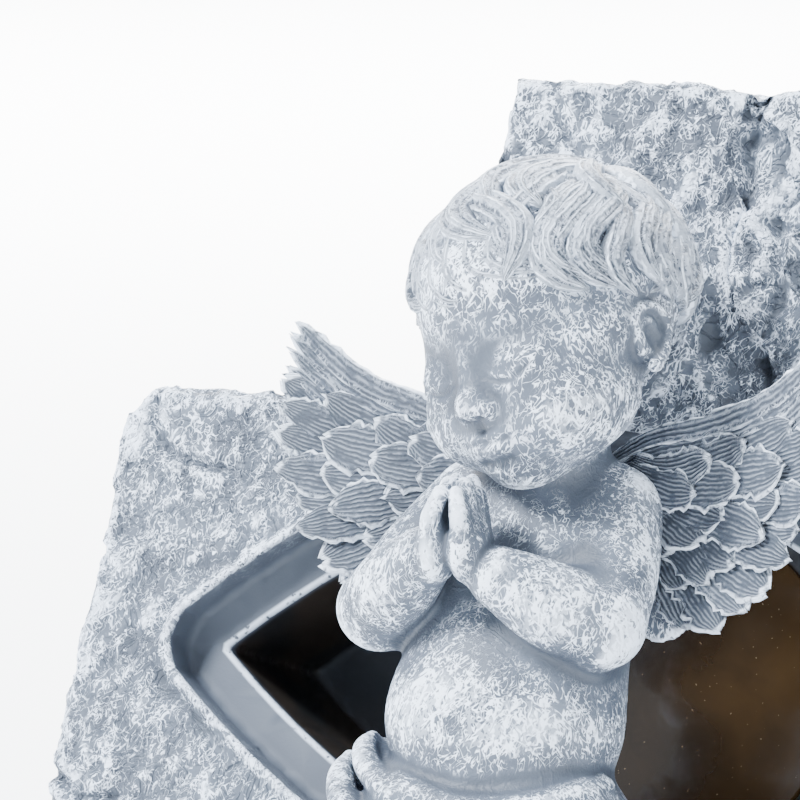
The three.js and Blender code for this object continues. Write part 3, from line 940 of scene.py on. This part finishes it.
@dataclass
class Body:
    """The cherub's trunk, limbs and drapery, in the figure's frame.

    Attributes:
        step: Grid step of the sculpted surface.
    """

    step: float = 0.9

    def sculpt(self) -> Shell:
        """Returns the body with its cloth as one mesh."""
        field = Field((-50, -54, -60), (46, 32, 104), self.step)
        self.trunk(field)
        self.legs(field)
        self.drapery(field)
        self.arms(field)
        for side in (-1, 1):
            self.hand(field, side)
        return field.shell()

    def trunk(self, field: Field) -> None:
        """Adds chest, belly, shoulders, neck and the roots of the wings.

        Args:
            field: The form so far.
        """
        field.ball((1, 1, 62), (22.5, 17, 24), soft=1)
        field.ball((0, -0.5, 44), (24.5, 20, 22), soft=9)
        field.ball((-2, -2, 24), (27.5, 24.5, 25), soft=9)
        field.strand([(2, -1, 74), (4, -9, 93)], [14, 13.5], soft=7)
        for side in (-1, 1):
            field.ball((1 + 9.5 * side, -8.5, 64), (11, 8.5, 9.5), soft=8)
            field.ball((2 + 18 * side, 12, 76), (12, 4.0, 17), soft=5)
            field.ball((2 + 25 * side, 12.5, 58), (10, 2.4, 12), soft=4)
        field.ball((-3.7, -28.6, 20.5), (1.3, 3.0, 1.8), soft=1.6, cut=True)

    def arms(self, field: Field) -> None:
        """Adds round shoulders and chubby arms bent to the chest.

        Args:
            field: The form so far.
        """
        field.strand([(17, 1, 73), (21.5, -6, 59), (23.5, -13, 46.5)], [11.8, 10.8, 9.9], soft=4)
        field.strand([(23.5, -14, 46.5), (15, -22.5, 49), (5, -30, 53.5)], [9.9, 9.8, 7.0], soft=2.5)
        field.strand([(-16, 1, 73), (-26, -5, 59), (-32.2, -10, 47)], [11.2, 10.2, 9.4], soft=4)
        field.strand([(-32.2, -10.5, 47), (-23, -22, 51.5), (-13, -31, 57)], [9.4, 9.2, 6.8], soft=2.5)

    def hand(self, field: Field, side: int) -> None:
        """Adds one of the two pressed hands.

        Args:
            side: 1 for the cherub's left hand, -1 for its right one.
        """
        x = -5.2 + 0.15 * side

        def spot(out: float, y: float, z: float) -> Triple:
            """Returns a place given by its distance from the palms."""
            return (x + out * side, y, z)

        field.ball(spot(3.6, -33.5, 59.5), (4.2, 7.6, 8.4), (-8, 0, 0), soft=1.8)
        for y, rise in ((-40.0, -3.2), (-36.2, -0.6), (-32.4, 0.6), (-28.6, -1.4)):
            finger = [spot(3.6, y + 1.0, 62), spot(3.3, y, 68.0 + rise), spot(1.8, y + 0.4, 73.6 + rise)]
            field.strand(finger, [2.5, 2.35, 1.9], soft=0.7)
        field.strand([spot(4.2, -28.5, 57), spot(3.4, -25.8, 62), spot(2.0, -25.6, 66.5)], [3.0, 2.5, 2.0], soft=1.0)

    def legs(self, field: Field) -> None:
        """Adds hips, thighs, shins and feet of the kneeling figure.

        Args:
            field: The form so far.
        """
        field.ball((0, 2, 0), (30, 24, 21), soft=4)
        for side in (-1, 1):
            field.strand([(13 * side, -4, -6), (14.5 * side, -22, -36)], [19, 13.6], soft=6)
            field.strand([(16 * side, -18, -43), (14 * side, 12, -46)], [10.2, 7.4], soft=4)
            field.ball((14 * side, 17, -47), (6.4, 5.5, 4.8), soft=3)
        field.ball((0, -8, -24), (20, 20, 22), soft=6)

    def drapery(self, field: Field) -> None:
        """Adds the cloth: a bundle on the right hip and swags across the lap.

        Args:
            field: The form so far.
        """
        swags = [
            [(-28, 13), (-19, 6.5), (-4, 2.5), (12, 3), (22, 7), (25.5, 11)],
            [(-28, 8), (-22, 0), (-7, -6.5), (11, -6), (23, -1), (27, 5)],
            [(-29, 2), (-24, -8), (-9, -16), (8, -16), (22, -10), (28, -3)],
            [(-29, -4), (-26, -16), (-13, -26), (3, -27), (19, -21), (28, -12)],
            [(-30, -10), (-28, -22), (-20, -34), (-12, -41)],
            [(28, -14), (26, -26), (20, -37), (13, -43)],
            [(-30, -18), (-27, -32), (-23, -43)],
            [(29, -8), (29, -22), (26, -38)],
            [(-3, -24), (-1, -36), (0, -46)],
        ]
        for i, line in enumerate(swags):
            radii = [2.0, *[2.9] * (len(line) - 2), 2.0]
            field.front_strand(line, radii, -0.4 if i else 0.2, 3.2)
        bundle = [
            ([(-35, 0, 18.5), (-33, -8, 14.5), (-27, -16, 9), (-18, -22, 3)], [1.6, 2.8, 3.2, 2.4]),
            ([(-32, 2, 17), (-30, -6, 11.5), (-24, -14, 6), (-15, -22, 1)], [1.8, 2.6, 2.8, 2.2]),
            ([(-40, 0, 13.5), (-38, -8, 8), (-32, -17, 1), (-24, -24, -6)], [1.8, 3.2, 3.6, 2.6]),
            ([(-40, 4, 8), (-38, -4, 1), (-34, -14, -6), (-27, -22, -14)], [2.0, 3.6, 3.6, 2.6]),
            ([(-38, 6, 10), (-40, 3, -4), (-38, 2, -22), (-36, 0, -38)], [2.4, 4.0, 3.8, 2.6]),
            ([(-35, -4, 6), (-37, -7, -10), (-36, -9, -26), (-33, -12, -40)], [2.4, 3.8, 3.6, 2.6]),
            ([(-30, 8, 8), (-33, 8, -6), (-33, 7, -24), (-30, 6, -40)], [3.0, 5.0, 4.6, 3.0]),
        ]
        for points, radii in bundle:
            field.strand(points, radii, soft=1.8)


@dataclass
class Cherub:
    """The whole figure.

    Attributes:
        triangles: How many triangles its one piece may have.
    """

    triangles: int = 196000

    def build(self) -> bpy.types.Object:
        """Returns the cherub's one piece, marked for its paint."""
        rough_cut = 1.0
        head, body = Head(), Body()
        head.step *= rough_cut
        body.step *= rough_cut
        skin = merged([body.sculpt(), head.sculpt().moved(head_to_figure)])
        obj = self.stand("angel_skin", skin)
        relax = spread(obj, places_of(obj), 1)
        set_places(obj, 0.5 * places_of(obj) + 0.5 * relax)
        hair = merged(head.hair()).moved(head_to_figure)
        wing = merged(Wing().shells())
        wings = [wing.moved(lambda rows: rows + [WING_MIDDLE, 0, 0])]
        wings.append(wings[0].mirrored(WING_MIDDLE))
        trim_shell = merged([hair, *wings])
        trim = self.stand("angel_trim", trim_shell)
        LOG.info("cherub: %d skin faces, %d faces of hair and feathers", len(skin.faces), len(trim.data.polygons))
        thin_to(obj, self.triangles - 2 * len(trim.data.polygons))
        mark_relief(obj, 1.15, 70)
        # The feathers' third mark lowers their raised mark: fewer strokes and deeper painted shade towards the roots.
        mark_relief(trim, 0.6, 0, trim_shell.marks[:, 2])
        for part, marks in ((obj, np.zeros((len(obj.data.vertices), 3))), (trim, trim_shell.marks)):
            far = np.full(len(marks), FAR_FROM_NICHE)
            for mark, values in zip((Mark.STRIPE, Mark.EDGE, Mark.RIM, Mark.DEPTH), (*marks.T[:2], far, -far)):
                set_mark(part, mark, values)
        choose(obj)
        trim.select_set(True)
        bpy.ops.object.join()
        obj.name = "cherub"
        return obj

    @staticmethod
    def stand(name: str, shell: Shell) -> bpy.types.Object:
        """Makes an object of a shell given in the figure's frame."""
        return mesh_object(name, shell.moved(lambda rows: leaning_to_world(rows + SEAT_POINT)))


# The cross


def niche_outline() -> np.ndarray:
    """Returns the niche's outline in the leaning frame, as x and z."""
    left, right, top, bottom, bulge = -101.0, 84.0, 46.0, -48.0, 9.0
    middle = (left + right) / 2
    corners = [(left, 0, bulge), (middle, bottom, bulge * 0.7), (right, 0, bulge), (middle + 5, top, bulge)]
    outline = []
    for i, (x, z, bow) in enumerate(corners):
        next_x, next_z, _ = corners[(i + 1) % 4]
        for share in np.arange(12) / 12:
            push = 4 * bow * share * (1 - share) * (1 if z + next_z > 0 else -1)
            outline.append((x + (next_x - x) * share, z + (next_z - z) * share + push))
    return np.array(outline)


def outline_distance(places: np.ndarray, outline: np.ndarray) -> np.ndarray:
    """Returns the distance to a closed outline, negative inside.

    Args:
        places: Rows of x and z.
        outline: The outline's corners.
    """
    nearest = line_distance(places, [*outline, outline[0]])
    inside = np.zeros(len(places), bool)
    for start, end in zip(outline, np.roll(outline, -1, axis=0)):
        spans = (start[1] > places[:, 1]) != (end[1] > places[:, 1])
        if start[1] != end[1]:
            across = start[0] + (places[:, 1] - start[1]) / (end[1] - start[1]) * (end[0] - start[0])
            inside ^= spans & (places[:, 0] < across)
    return np.where(inside, -nearest, nearest)


def line_distance(places: np.ndarray, line: Rows) -> np.ndarray:
    """Returns the distance to an open line.

    Args:
        places: Rows of x and z.
        line: The line's points.
    """
    nearest = np.full(len(places), 1e9)
    rows = np.array(line, float)
    for start, end in zip(rows[:-1], rows[1:]):
        along = end - start
        offset = places - start
        share = np.clip(offset @ along / (along @ along), 0, 1)
        nearest = np.minimum(nearest, np.linalg.norm(offset - share[:, None] * along, axis=1))
    return nearest


def noise_at(places: np.ndarray, size: float, octaves: int, seed: float) -> np.ndarray:
    """Returns fractal noise of about -1 to 1."""
    rows = (places / size + seed).tolist()
    return np.array([noise.fractal(row, 0.8, 2.1, octaves) for row in rows])


def broken_planes(places: np.ndarray, size: float, seed: float) -> np.ndarray:
    """Returns heights of about 0 to 1 of tilted, broken planes.

    Args:
        places: Positions in millimetres.
        size: The size of a plane, in millimetres.
        seed: Shifts the pattern.
    """
    heights = []
    for row in (places / size + seed).tolist():
        near = noise.voronoi(row)[1][0]
        tilt = noise.cell_vector(near * 7.3) - Vector((0.5, 0.5, 0.5))
        heights.append(0.5 + 0.6 * (Vector(row) - near).dot(tilt) + 0.5 * (noise.cell(near * 3.1) - 0.5))
    return np.array(heights)


@dataclass
class Cross:
    """The cross with its niche, base and rocks.

    Attributes:
        step: Size of the remeshed faces, in metres.
        triangles: How many triangles its piece may have.
        broken_at: Middle of the most broken stone, as x and z in the leaning frame.
        broken_reach: How far it reaches along both.
    """

    step: float = 0.00122
    triangles: int = 197000
    broken_at: tuple[float, float] = (28.0, 96.0)
    broken_reach: tuple[float, float] = (20.0, 38.0)

    def build(self) -> bpy.types.Object:
        """Returns the cross's one piece, worn and marked for its paint."""
        source = bpy.data.objects[Node.CROSS.value]
        obj = bpy.data.objects.new("cross_casting", source.data.copy())
        bpy.context.scene.collection.objects.link(obj)
        obj.data.materials.clear()
        apply_modifier(obj, "REMESH", mode="VOXEL", voxel_size=self.step * 1)
        self.wear(obj)
        thin_to(obj, self.triangles)
        choose(obj)
        bpy.ops.object.shade_smooth()
        mark_relief(obj, 1.1, 0)
        self.mark_niche(obj)
        return obj

    def wear(self, obj: bpy.types.Object) -> None:
        """Gives the stone its hewn faces, pits, cracks and chips, all cut inwards.

        Args:
            obj: The remeshed cross.
        """
        places, normals = places_of(obj), vertex_rows(obj, "normal")
        local = world_to_leaning(places)
        rim = outline_distance(local[:, [0, 2]], niche_outline())
        in_face = (local[:, 1] > -1) & (local[:, 1] < NICHE_DEPTH + 8)
        carved = np.where(in_face, np.clip((rim - RIM_WIDTH - 0.8) / 2.5, 0, 1), 1.0)
        base = np.clip((places[:, 2] - 1.0) / 3.0, 0, 1)
        strength = carved * base
        broad = noise_at(places, 26, 3, 3.1)
        plates = noise_at(places * [1, 1, 0.7], 9, 4, 7.7)
        fine = noise_at(places, 2.6, 3, 1.3)
        steps = np.floor((plates * 0.5 + 0.5) * 5) / 5 + 0.25 * (plates * 0.5 + 0.5)
        ridges = np.exp(-((noise_at(places * [1, 1, 0.6] + 2 * plates[:, None], 10, 2, 5.5) / 0.16) ** 2))
        planes = np.clip(broken_planes(places + 2.5 * plates[:, None], 12, 4.4), 0, 1)
        away_x, away_z = ((local[:, [0, 2]] - self.broken_at) / self.broken_reach).T
        split = np.exp(-(away_x**2) - (away_z**2))
        depth = 0.44 * (1 - broad) + (0.7 + 1.4 * split) * (1 - steps) + 0.24 * np.abs(fine)
        depth += (0.7 + 3.2 * split) * (1 - planes) + 0.8 * (1 - ridges)
        depth += 0.5 * np.clip(noise_at(places, 4.2, 2, 9.4) - 0.35, 0, 1) * 3
        front = np.abs(local[:, 1]) < 6
        for line, reach, deep in self.cracks():
            gap = line_distance(local[:, [0, 2]] + 0.8 * fine[:, None], line)
            depth += np.where(front, deep * np.exp(-((gap / reach) ** 2)), 0)
        set_places(obj, places - normals * (depth * strength)[:, None])

    @staticmethod
    def cracks() -> list[tuple[Rows, float, float]]:
        """Returns the cracks on the front, each with its line, half-width and depth."""
        return [
            ([(-124, 63), (-122.5, 52), (-119, 45.5), (-108, 42), (-97, 40)], 1.1, 1.8),
            ([(-80, 63), (-76, 54), (-70, 47), (-64, 38)], 0.9, 1.2),
            ([(-145, 23), (-136, 21), (-131, 16)], 1.4, 2.4),
            ([(-147, -1), (-141, -3), (-138, -8)], 1.5, 2.6),
            ([(-147, -34), (-139, -33), (-131, -39), (-122, -38)], 1.4, 2.4),
            ([(-118, 30), (-110, 24), (-112, 12)], 0.9, 0.9),
            ([(22, 139), (20.5, 124), (23, 112), (19, 101), (21, 84)], 1.2, 3.0),
            ([(-30, 139), (-27, 128), (-20, 119), (-18, 108)], 1.0, 1.3),
            ([(36, 118), (28, 108), (31, 92), (27, 74), (33, 64)], 1.1, 2.2),
            ([(0, 139), (3, 130), (1, 121)], 0.8, 1.2),
            ([(136, 30), (124, 26), (112, 30), (101, 24)], 1.1, 1.8),
            ([(70, 62), (76, 50), (88, 44)], 0.9, 1.3),
            ([(138, -20), (126, -26), (118, -40), (108, -44)], 1.2, 2.0),
            ([(-60, -62), (-66, -52), (-80, -48)], 0.9, 1.4),
            ([(60, -64), (66, -54), (80, -50), (86, -42)], 1.0, 1.4),
        ]

    @staticmethod
    def mark_niche(obj: bpy.types.Object) -> None:
        """Marks each vertex's distance to the niche's outline and its depth behind the face.

        Args:
            obj: The finished cross.
        """
        local = world_to_leaning(places_of(obj))
        set_mark(obj, Mark.RIM, outline_distance(local[:, [0, 2]], niche_outline()))
        set_mark(obj, Mark.DEPTH, local[:, 1])


@dataclass
class Pane:
    """The amber pane in the niche's back wall.

    Attributes:
        radius: Its radius.
        thickness: Its thickness.
        middle: Its middle in the leaning frame, as x and z.
    """

    radius: float = 40.7
    thickness: float = 3.6
    middle: tuple[float, float] = (-6.0, 3.0)

    def build(self) -> bpy.types.Object:
        """Returns the pane's one piece."""
        bpy.ops.object.select_all(action="DESELECT")
        bpy.ops.mesh.primitive_cylinder_add(
            vertices=128, radius=self.radius / MM_PER_METRE, depth=self.thickness / MM_PER_METRE, location=(0, 0, 0)
        )
        obj = bpy.context.active_object
        obj.name = "amber_disc"
        apply_modifier(obj, "BEVEL", width=0.0006, segments=3)
        bpy.ops.object.shade_smooth_by_angle(angle=math.radians(40))
        rows = places_of(obj)[:, [0, 2, 1]] * [1, 1, -1]
        rows += [self.middle[0], NICHE_DEPTH + self.thickness / 2, self.middle[1]]
        set_places(obj, leaning_to_world(rows))
        return obj


# Paint


def math_method(operation: str, swapped: bool = False) -> Callable[..., "Value"]:
    """Makes a method that feeds a Math node.

    Args:
        operation: What the node does.
        swapped: Whether the method's own value comes second.

    Returns:
        The method.
    """

    def method(self: "Value", other: object = 0.0) -> "Value":
        """Returns the node's result."""
        pair = (other, self) if swapped else (self, other)
        return self.graph.node("ShaderNodeMath", dict(enumerate(pair)), operation=operation)

    return method


class Value:
    """A shader socket that takes part in sums with others and with constants."""

    def __init__(self, graph: "Graph", socket: bpy.types.NodeSocket) -> None:
        """Wraps a socket of a graph."""
        self.graph = graph
        self.socket = socket

    __add__ = math_method("ADD")
    __sub__ = math_method("SUBTRACT")
    __rsub__ = math_method("SUBTRACT", swapped=True)
    __mul__ = math_method("MULTIPLY")
    __abs__ = math_method("ABSOLUTE")
    wave = math_method("SINE")
    largest = math_method("MAXIMUM")

    def ramp(self, low: object, high: object) -> "Value":
        """Returns 0 below one limit and 1 above the other, smooth in between.

        Args:
            low: The lower limit.
            high: The upper limit.
        """
        return self.graph.node(
            "ShaderNodeMapRange",
            {"Value": self, "From Min": low, "From Max": high, "To Min": 0.0, "To Max": 1.0},
            interpolation_type="SMOOTHSTEP",
        )


class Graph:
    """A material's node tree."""

    def __init__(self, name: str) -> None:
        """Makes a material with a Principled BSDF.

        Args:
            name: The material's name.
        """
        self.material = bpy.data.materials.new(name)
        self.material.use_nodes = True
        self.tree = self.material.node_tree
        self.surface = self.tree.nodes["Principled BSDF"]

    def put(self, socket: bpy.types.NodeSocket, value: object) -> None:
        """Feeds a socket from a value or sets it to a constant.

        Args:
            socket: The socket.
            value: A value, a constant or None to leave it.
        """
        if isinstance(value, Value):
            self.tree.links.new(value.socket, socket)
        elif value is not None:
            socket.default_value = value

    def node(self, kind: str, inputs: dict | None = None, output: int | str = 0, **settings: object) -> Value:
        """Adds any node.

        Args:
            kind: The node's type.
            inputs: Values for its inputs by name or number.
            output: The output to return.
            settings: The node's settings.

        Returns:
            The chosen output.
        """
        made = self.tree.nodes.new(kind)
        for key, value in settings.items():
            setattr(made, key, value)
        for key, value in (inputs or {}).items():
            self.put(made.inputs[key], value)
        return Value(self, made.outputs[output])

    def mix(self, share: object, first: object, second: object) -> Value:
        """Mixes two colours.

        Args:
            share: The second colour's share.
            first: A colour.
            second: Another colour.
        """
        pair = [(*one, 1.0) if isinstance(one, tuple) else one for one in (first, second)]
        made = self.tree.nodes.new("ShaderNodeMix")
        made.data_type = "RGBA"
        self.put(made.inputs[0], share)
        self.put(made.inputs[6], pair[0])
        self.put(made.inputs[7], pair[1])
        return Value(self, made.outputs[2])

    def places(self, stretch: Triple = (1.0, 1.0, 1.0), turn: Triple = (0.0, 0.0, 0.0)) -> Value:
        """Returns the object's own coordinates in millimetres, turned and then stretched.

        Args:
            stretch: Factor along each axis.
            turn: Angles about the axes, in radians.
        """
        whole = self.node("ShaderNodeTexCoord", output="Object")
        scaled = tuple(0.001 / one for one in stretch)
        return self.node(
            "ShaderNodeMapping", {"Vector": whole, "Rotation": turn, "Scale": scaled}, vector_type="TEXTURE"
        )

    def noise(self, where: Value, size: float, detail: float, warp: float = 0.0, rough: float = 0.55) -> Value:
        """Returns noise of 0 to 1 with features of a size in millimetres.

        Args:
            where: Coordinates in millimetres.
            size: Size of its features.
            detail: How many finer layers it has.
            warp: How much it is distorted.
            rough: Strength of the finer layers.
        """
        return self.node(
            "ShaderNodeTexNoise",
            {"Vector": where, "Scale": 1 / size, "Detail": detail, "Roughness": rough, "Distortion": warp},
        )

    def mark(self, mark: Mark) -> Value:
        """Returns one of the mesh's point attributes."""
        return self.node("ShaderNodeAttribute", output="Fac", attribute_name=mark.value)

    def feed(self, **values: object) -> None:
        """Feeds the surface's sockets, whose names are given with underscores."""
        for key, value in values.items():
            self.put(self.surface.inputs[key.replace("_", " ")], value)


def resin(name: str, finish: ResinFinish) -> bpy.types.Material:
    """Paints resin: greys, painted shade in the hollows and the niche, and brushed strokes on what is raised.

    Args:
        name: The material's name.
        finish: Its colours and strengths.

    Returns:
        The material.
    """
    graph = Graph(name)
    raised, rim, depth, stripe, brim = (graph.mark(mark) for mark in Mark)
    smooth = (1.0 - rim.ramp(RIM_WIDTH - 0.2, RIM_WIDTH + 0.8)) * depth.ramp(0.8, 2.0)
    smooth *= 1.0 - depth.ramp(NICHE_DEPTH + 6, NICHE_DEPTH + 7)
    inner = smooth * (1.0 - rim.ramp(0.4, 1.4))
    # Painted shade: behind the ledge the niche's walls turn near black, a little less so at the back wall.
    dark = inner * depth.ramp(RIM_STEP + 1, RIM_STEP + 4) * (1.0 - depth.ramp(NICHE_DEPTH - 2, NICHE_DEPTH) * 0.45)
    edge = (1.0 - abs(rim - 0.4).ramp(0.3, 1.2)) * (1.0 - abs(depth - RIM_STEP).ramp(0.6, 1.8))
    plain = graph.places()
    cloud = graph.noise(plain, 14, 4)
    lift = raised.ramp(0.42, 0.95)
    high = graph.node("ShaderNodeSeparateXYZ", {"Vector": plain}, output="Z").ramp(170, 250)
    width = (lift * 0.12 + 0.016 + high * 0.034) * finish.cover + (cloud - 0.5) * 0.075
    strokes = None
    for turn, size in (((0.1, 0.2, 0.0), 1.8), ((0.25, 0.8, 0.2), 1.6), ((0.2, -0.6, 0.6), 1.7)):
        line = abs(graph.noise(graph.places((1.0, 1.0, 0.34), turn), size, 1.3, 0.7) - 0.5)
        gaps = graph.noise(graph.places((1.0, 1.0, 0.6), turn), 2.8, 2).ramp(0.44, 0.56)
        made = (1.0 - line.ramp(width, width + 0.016)) * gaps.largest(lift * 1.1 - 0.3)
        strokes = made if strokes is None else strokes.largest(made)
    patches = graph.noise(plain, 1.0, 3, 0.6, 0.7).ramp(0.58, 0.64)
    striped = stripe.ramp(1.0, 2.0)
    wave = ((stripe + graph.noise(plain, 3.5, 2) * 1.1) * (2 * math.pi)).wave()
    combed = wave.ramp(-0.1, 0.8) * striped * (lift * 0.75 + 0.2) * graph.noise(plain, 3, 2).ramp(0.36, 0.55)
    brim = brim.ramp(0.8, 1.5) * graph.noise(plain, 2.2, 2).ramp(0.3, 0.48)
    veil = lift * cloud.ramp(0.35, 0.65) * 0.16
    strokes *= raised.ramp(0.05, 0.45) * (1.0 - striped * 0.6)
    white = strokes.largest(patches * lift * (1.1 * finish.cover)).largest(combed)
    white = white.largest(brim * 0.95).largest(veil) * (1.0 - smooth)
    white = (white * (1.0 - dark)).largest(edge * graph.noise(plain, 1.8, 2).ramp(0.3, 0.42) * 0.8)
    grey = graph.mix(cloud.ramp(0.35, 0.65), finish.low, finish.high)
    # Painted shade: the low hollows and the grooves between barbs are darkened towards three tenths of the darker
    # grey.
    groove = striped * (1.0 - wave.ramp(-0.95, -0.3)) * 0.6
    hollow = ((1.0 - raised.ramp(0.0, 0.3)) * finish.hollow_shade).largest(groove)
    grey = graph.mix(hollow, grey, tuple(0.3 * one for one in finish.low))
    grey = graph.mix(smooth, grey, LEDGE_GREY)
    # Painted shade and painted reflection: the niche's walls mix near black with patches of the amber pane's warm
    # light.
    brown = graph.mix(graph.noise(plain, 20, 2).ramp(0.4, 0.6), NICHE_BLACK, NICHE_AMBER_REFLECTION)
    grey = graph.mix(dark, grey, brown)
    colour = graph.mix(white, grey, finish.fleck)
    grain = graph.noise(plain, 0.8, 4, 0.3, 0.65)
    crease = abs(graph.noise(plain, 8.5, 3, 1.6, 0.5) - 0.5)
    rock = (graph.noise(plain, 3, 4, 0.8, 0.6) * 0.35 - crease.ramp(0.0, 0.07) * 0.8) * (1.0 - smooth) * finish.rock
    height = grain * 0.5 * (1.0 - smooth * 0.7) + white * 0.5 + wave * striped * 0.5 + rock
    bump = graph.node("ShaderNodeBump", {"Strength": finish.grain, "Distance": 0.0005, "Height": height})
    graph.feed(Base_Color=colour, Roughness=white * 0.2 + finish.roughness, Normal=bump, Specular_IOR_Level=0.35)
    return graph.material


def amber(finish: AmberFinish) -> bpy.types.Material:
    """Paints see-through amber resin with a painted reflection that warms it towards the top right, and a faint
    painted glow.

    Args:
        finish: Its colours and roughness.

    Returns:
        The material.
    """
    graph = Graph("amber_resin")
    where = graph.places()
    across = graph.node("ShaderNodeSeparateXYZ", {"Vector": where}, output="X")
    # Painted reflection: the amber goes from its shaded colour to its lit one towards the right, in soft patches.
    warm = (across * 0.012 + 0.25 + graph.noise(where, 22, 3, 0.8) * 0.5).ramp(0.2, 1.0)
    colour = graph.mix(warm, finish.dark, finish.warm)
    specks = graph.noise(where, 0.9, 1).ramp(0.74, 0.8)
    colour = graph.mix(specks * 0.4, colour, (0.4, 0.3, 0.2))
    bump = graph.node(
        "ShaderNodeBump", {"Strength": 0.15, "Distance": 0.0006, "Height": graph.noise(where, 9, 2, 0.4)}
    )
    graph.feed(
        Base_Color=colour,
        Roughness=finish.roughness,
        Normal=bump,
        Coat_Weight=0.6,
        Coat_Roughness=0.08,
        # Painted glow: the pane shines faintly in its own colour and casts that light into the niche.
        Emission_Color=colour,
        Emission_Strength=0.3,
    )
    return graph.material


# Stage


@dataclass(frozen=True)
class Studio:
    """Camera, soft lights and a pale floor.

    Attributes:
        azimuth: Degrees to the right of the object's front at which the camera stands.
        elevation: Degrees above the horizon.
        lens: Focal length in millimetres.
        place: The camera's place in metres.
        tint: Colour of the lamps that light the statue.
        lamps: For each of them its name, place, size and power.
    """

    azimuth: float = 25.0
    elevation: float = 7.0
    lens: float = 294.3
    place: Triple = (0.584427, -1.336849, 0.384497)
    tint: Triple = (0.88, 0.935, 1.0)
    lamps: tuple[tuple[str, Triple, float, float], ...] = (
        ("key", (-0.76, -0.9, 1.3), 0.4, 108.0),
        ("fill", (1.3, -0.9, 0.5), 0.9, 20.0),
        ("top", (0.2, 0.3, 1.6), 0.9, 40.0),
    )

    def camera(self) -> None:
        """Sets up the camera at the photo's viewing angle."""
        a, e = math.radians(self.azimuth), math.radians(self.elevation)
        forward = Vector((-math.sin(a) * math.cos(e), math.cos(a) * math.cos(e), -math.sin(e)))
        bpy.ops.object.camera_add(location=self.place, rotation=forward.to_track_quat("-Z", "Y").to_euler())
        camera = bpy.context.active_object
        camera.data.lens = self.lens
        camera.data.sensor_width = 36.0
        camera.data.clip_start = 0.05
        camera.data.clip_end = 60.0
        bpy.context.scene.camera = camera

    def light(
        self,
        name: str,
        place: Triple,
        size: float,
        power: float,
        colour: Triple,
        target: Triple = (0.0, 0.0, 0.15),
    ) -> None:
        """Adds an area light.

        Args:
            name: The light's name.
            place: Its place in metres.
            size: Its width in metres.
            power: Its power in watts.
            colour: Its colour.
            target: The place that it looks at.
        """
        way = Vector(target) - Vector(place)
        bpy.ops.object.light_add(type="AREA", location=place, rotation=way.to_track_quat("-Z", "Y").to_euler())
        lamp = bpy.context.active_object
        lamp.name = name
        lamp.data.size = size
        lamp.data.energy = power
        lamp.data.color = colour

    def build(self) -> None:
        """Builds the stage."""
        self.camera()
        for name, place, size, power in self.lamps:
            self.light(name, place, size, power, self.tint)
        self.light("far_floor", (-1.3, 3.4, 2.0), 4.0, 1300.0, (1.0, 1.0, 1.0), (-1.3, 3.4, 0.0))
        bpy.ops.object.select_all(action="DESELECT")
        bpy.ops.mesh.primitive_plane_add(size=40.0, location=(0, 0, 0))
        floor = bpy.context.active_object
        floor.name = "floor"
        graph = Graph("floor_paper")
        graph.feed(Base_Color=(0.92, 0.93, 0.94, 1.0), Roughness=0.9, Specular_IOR_Level=0.1)
        floor.data.materials.append(graph.material)
        world = bpy.data.worlds.new("studio")
        world.use_nodes = True
        sky = world.node_tree.nodes["Background"].inputs
        sky["Color"].default_value = (0.88, 0.95, 1.0, 1.0)
        sky["Strength"].default_value = 0.68
        bpy.context.scene.world = world


def main() -> None:
    """Builds the statue and its stage."""
    logging.basicConfig(level=logging.INFO)
    figure_paint, stone_paint = resin("figure_resin", FIGURE_PAINT), resin("rock_resin", STONE_PAINT)
    for obj, paint, node, slot in (
        (Cherub().build(), figure_paint, Node.ANGEL, "figure_resin"),
        (Cross().build(), stone_paint, Node.CROSS, "rock_resin"),
        (Pane().build(), amber(AMBER), Node.PANE, "amber_resin"),
    ):
        obj.data.materials.clear()
        obj.data.materials.append(paint)
        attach(obj, "root")
        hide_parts(node.value)
        LOG.info("%s: %d faces", obj.name, len(obj.data.polygons))
    Studio().build()


if __name__ == "__main__":
    main()
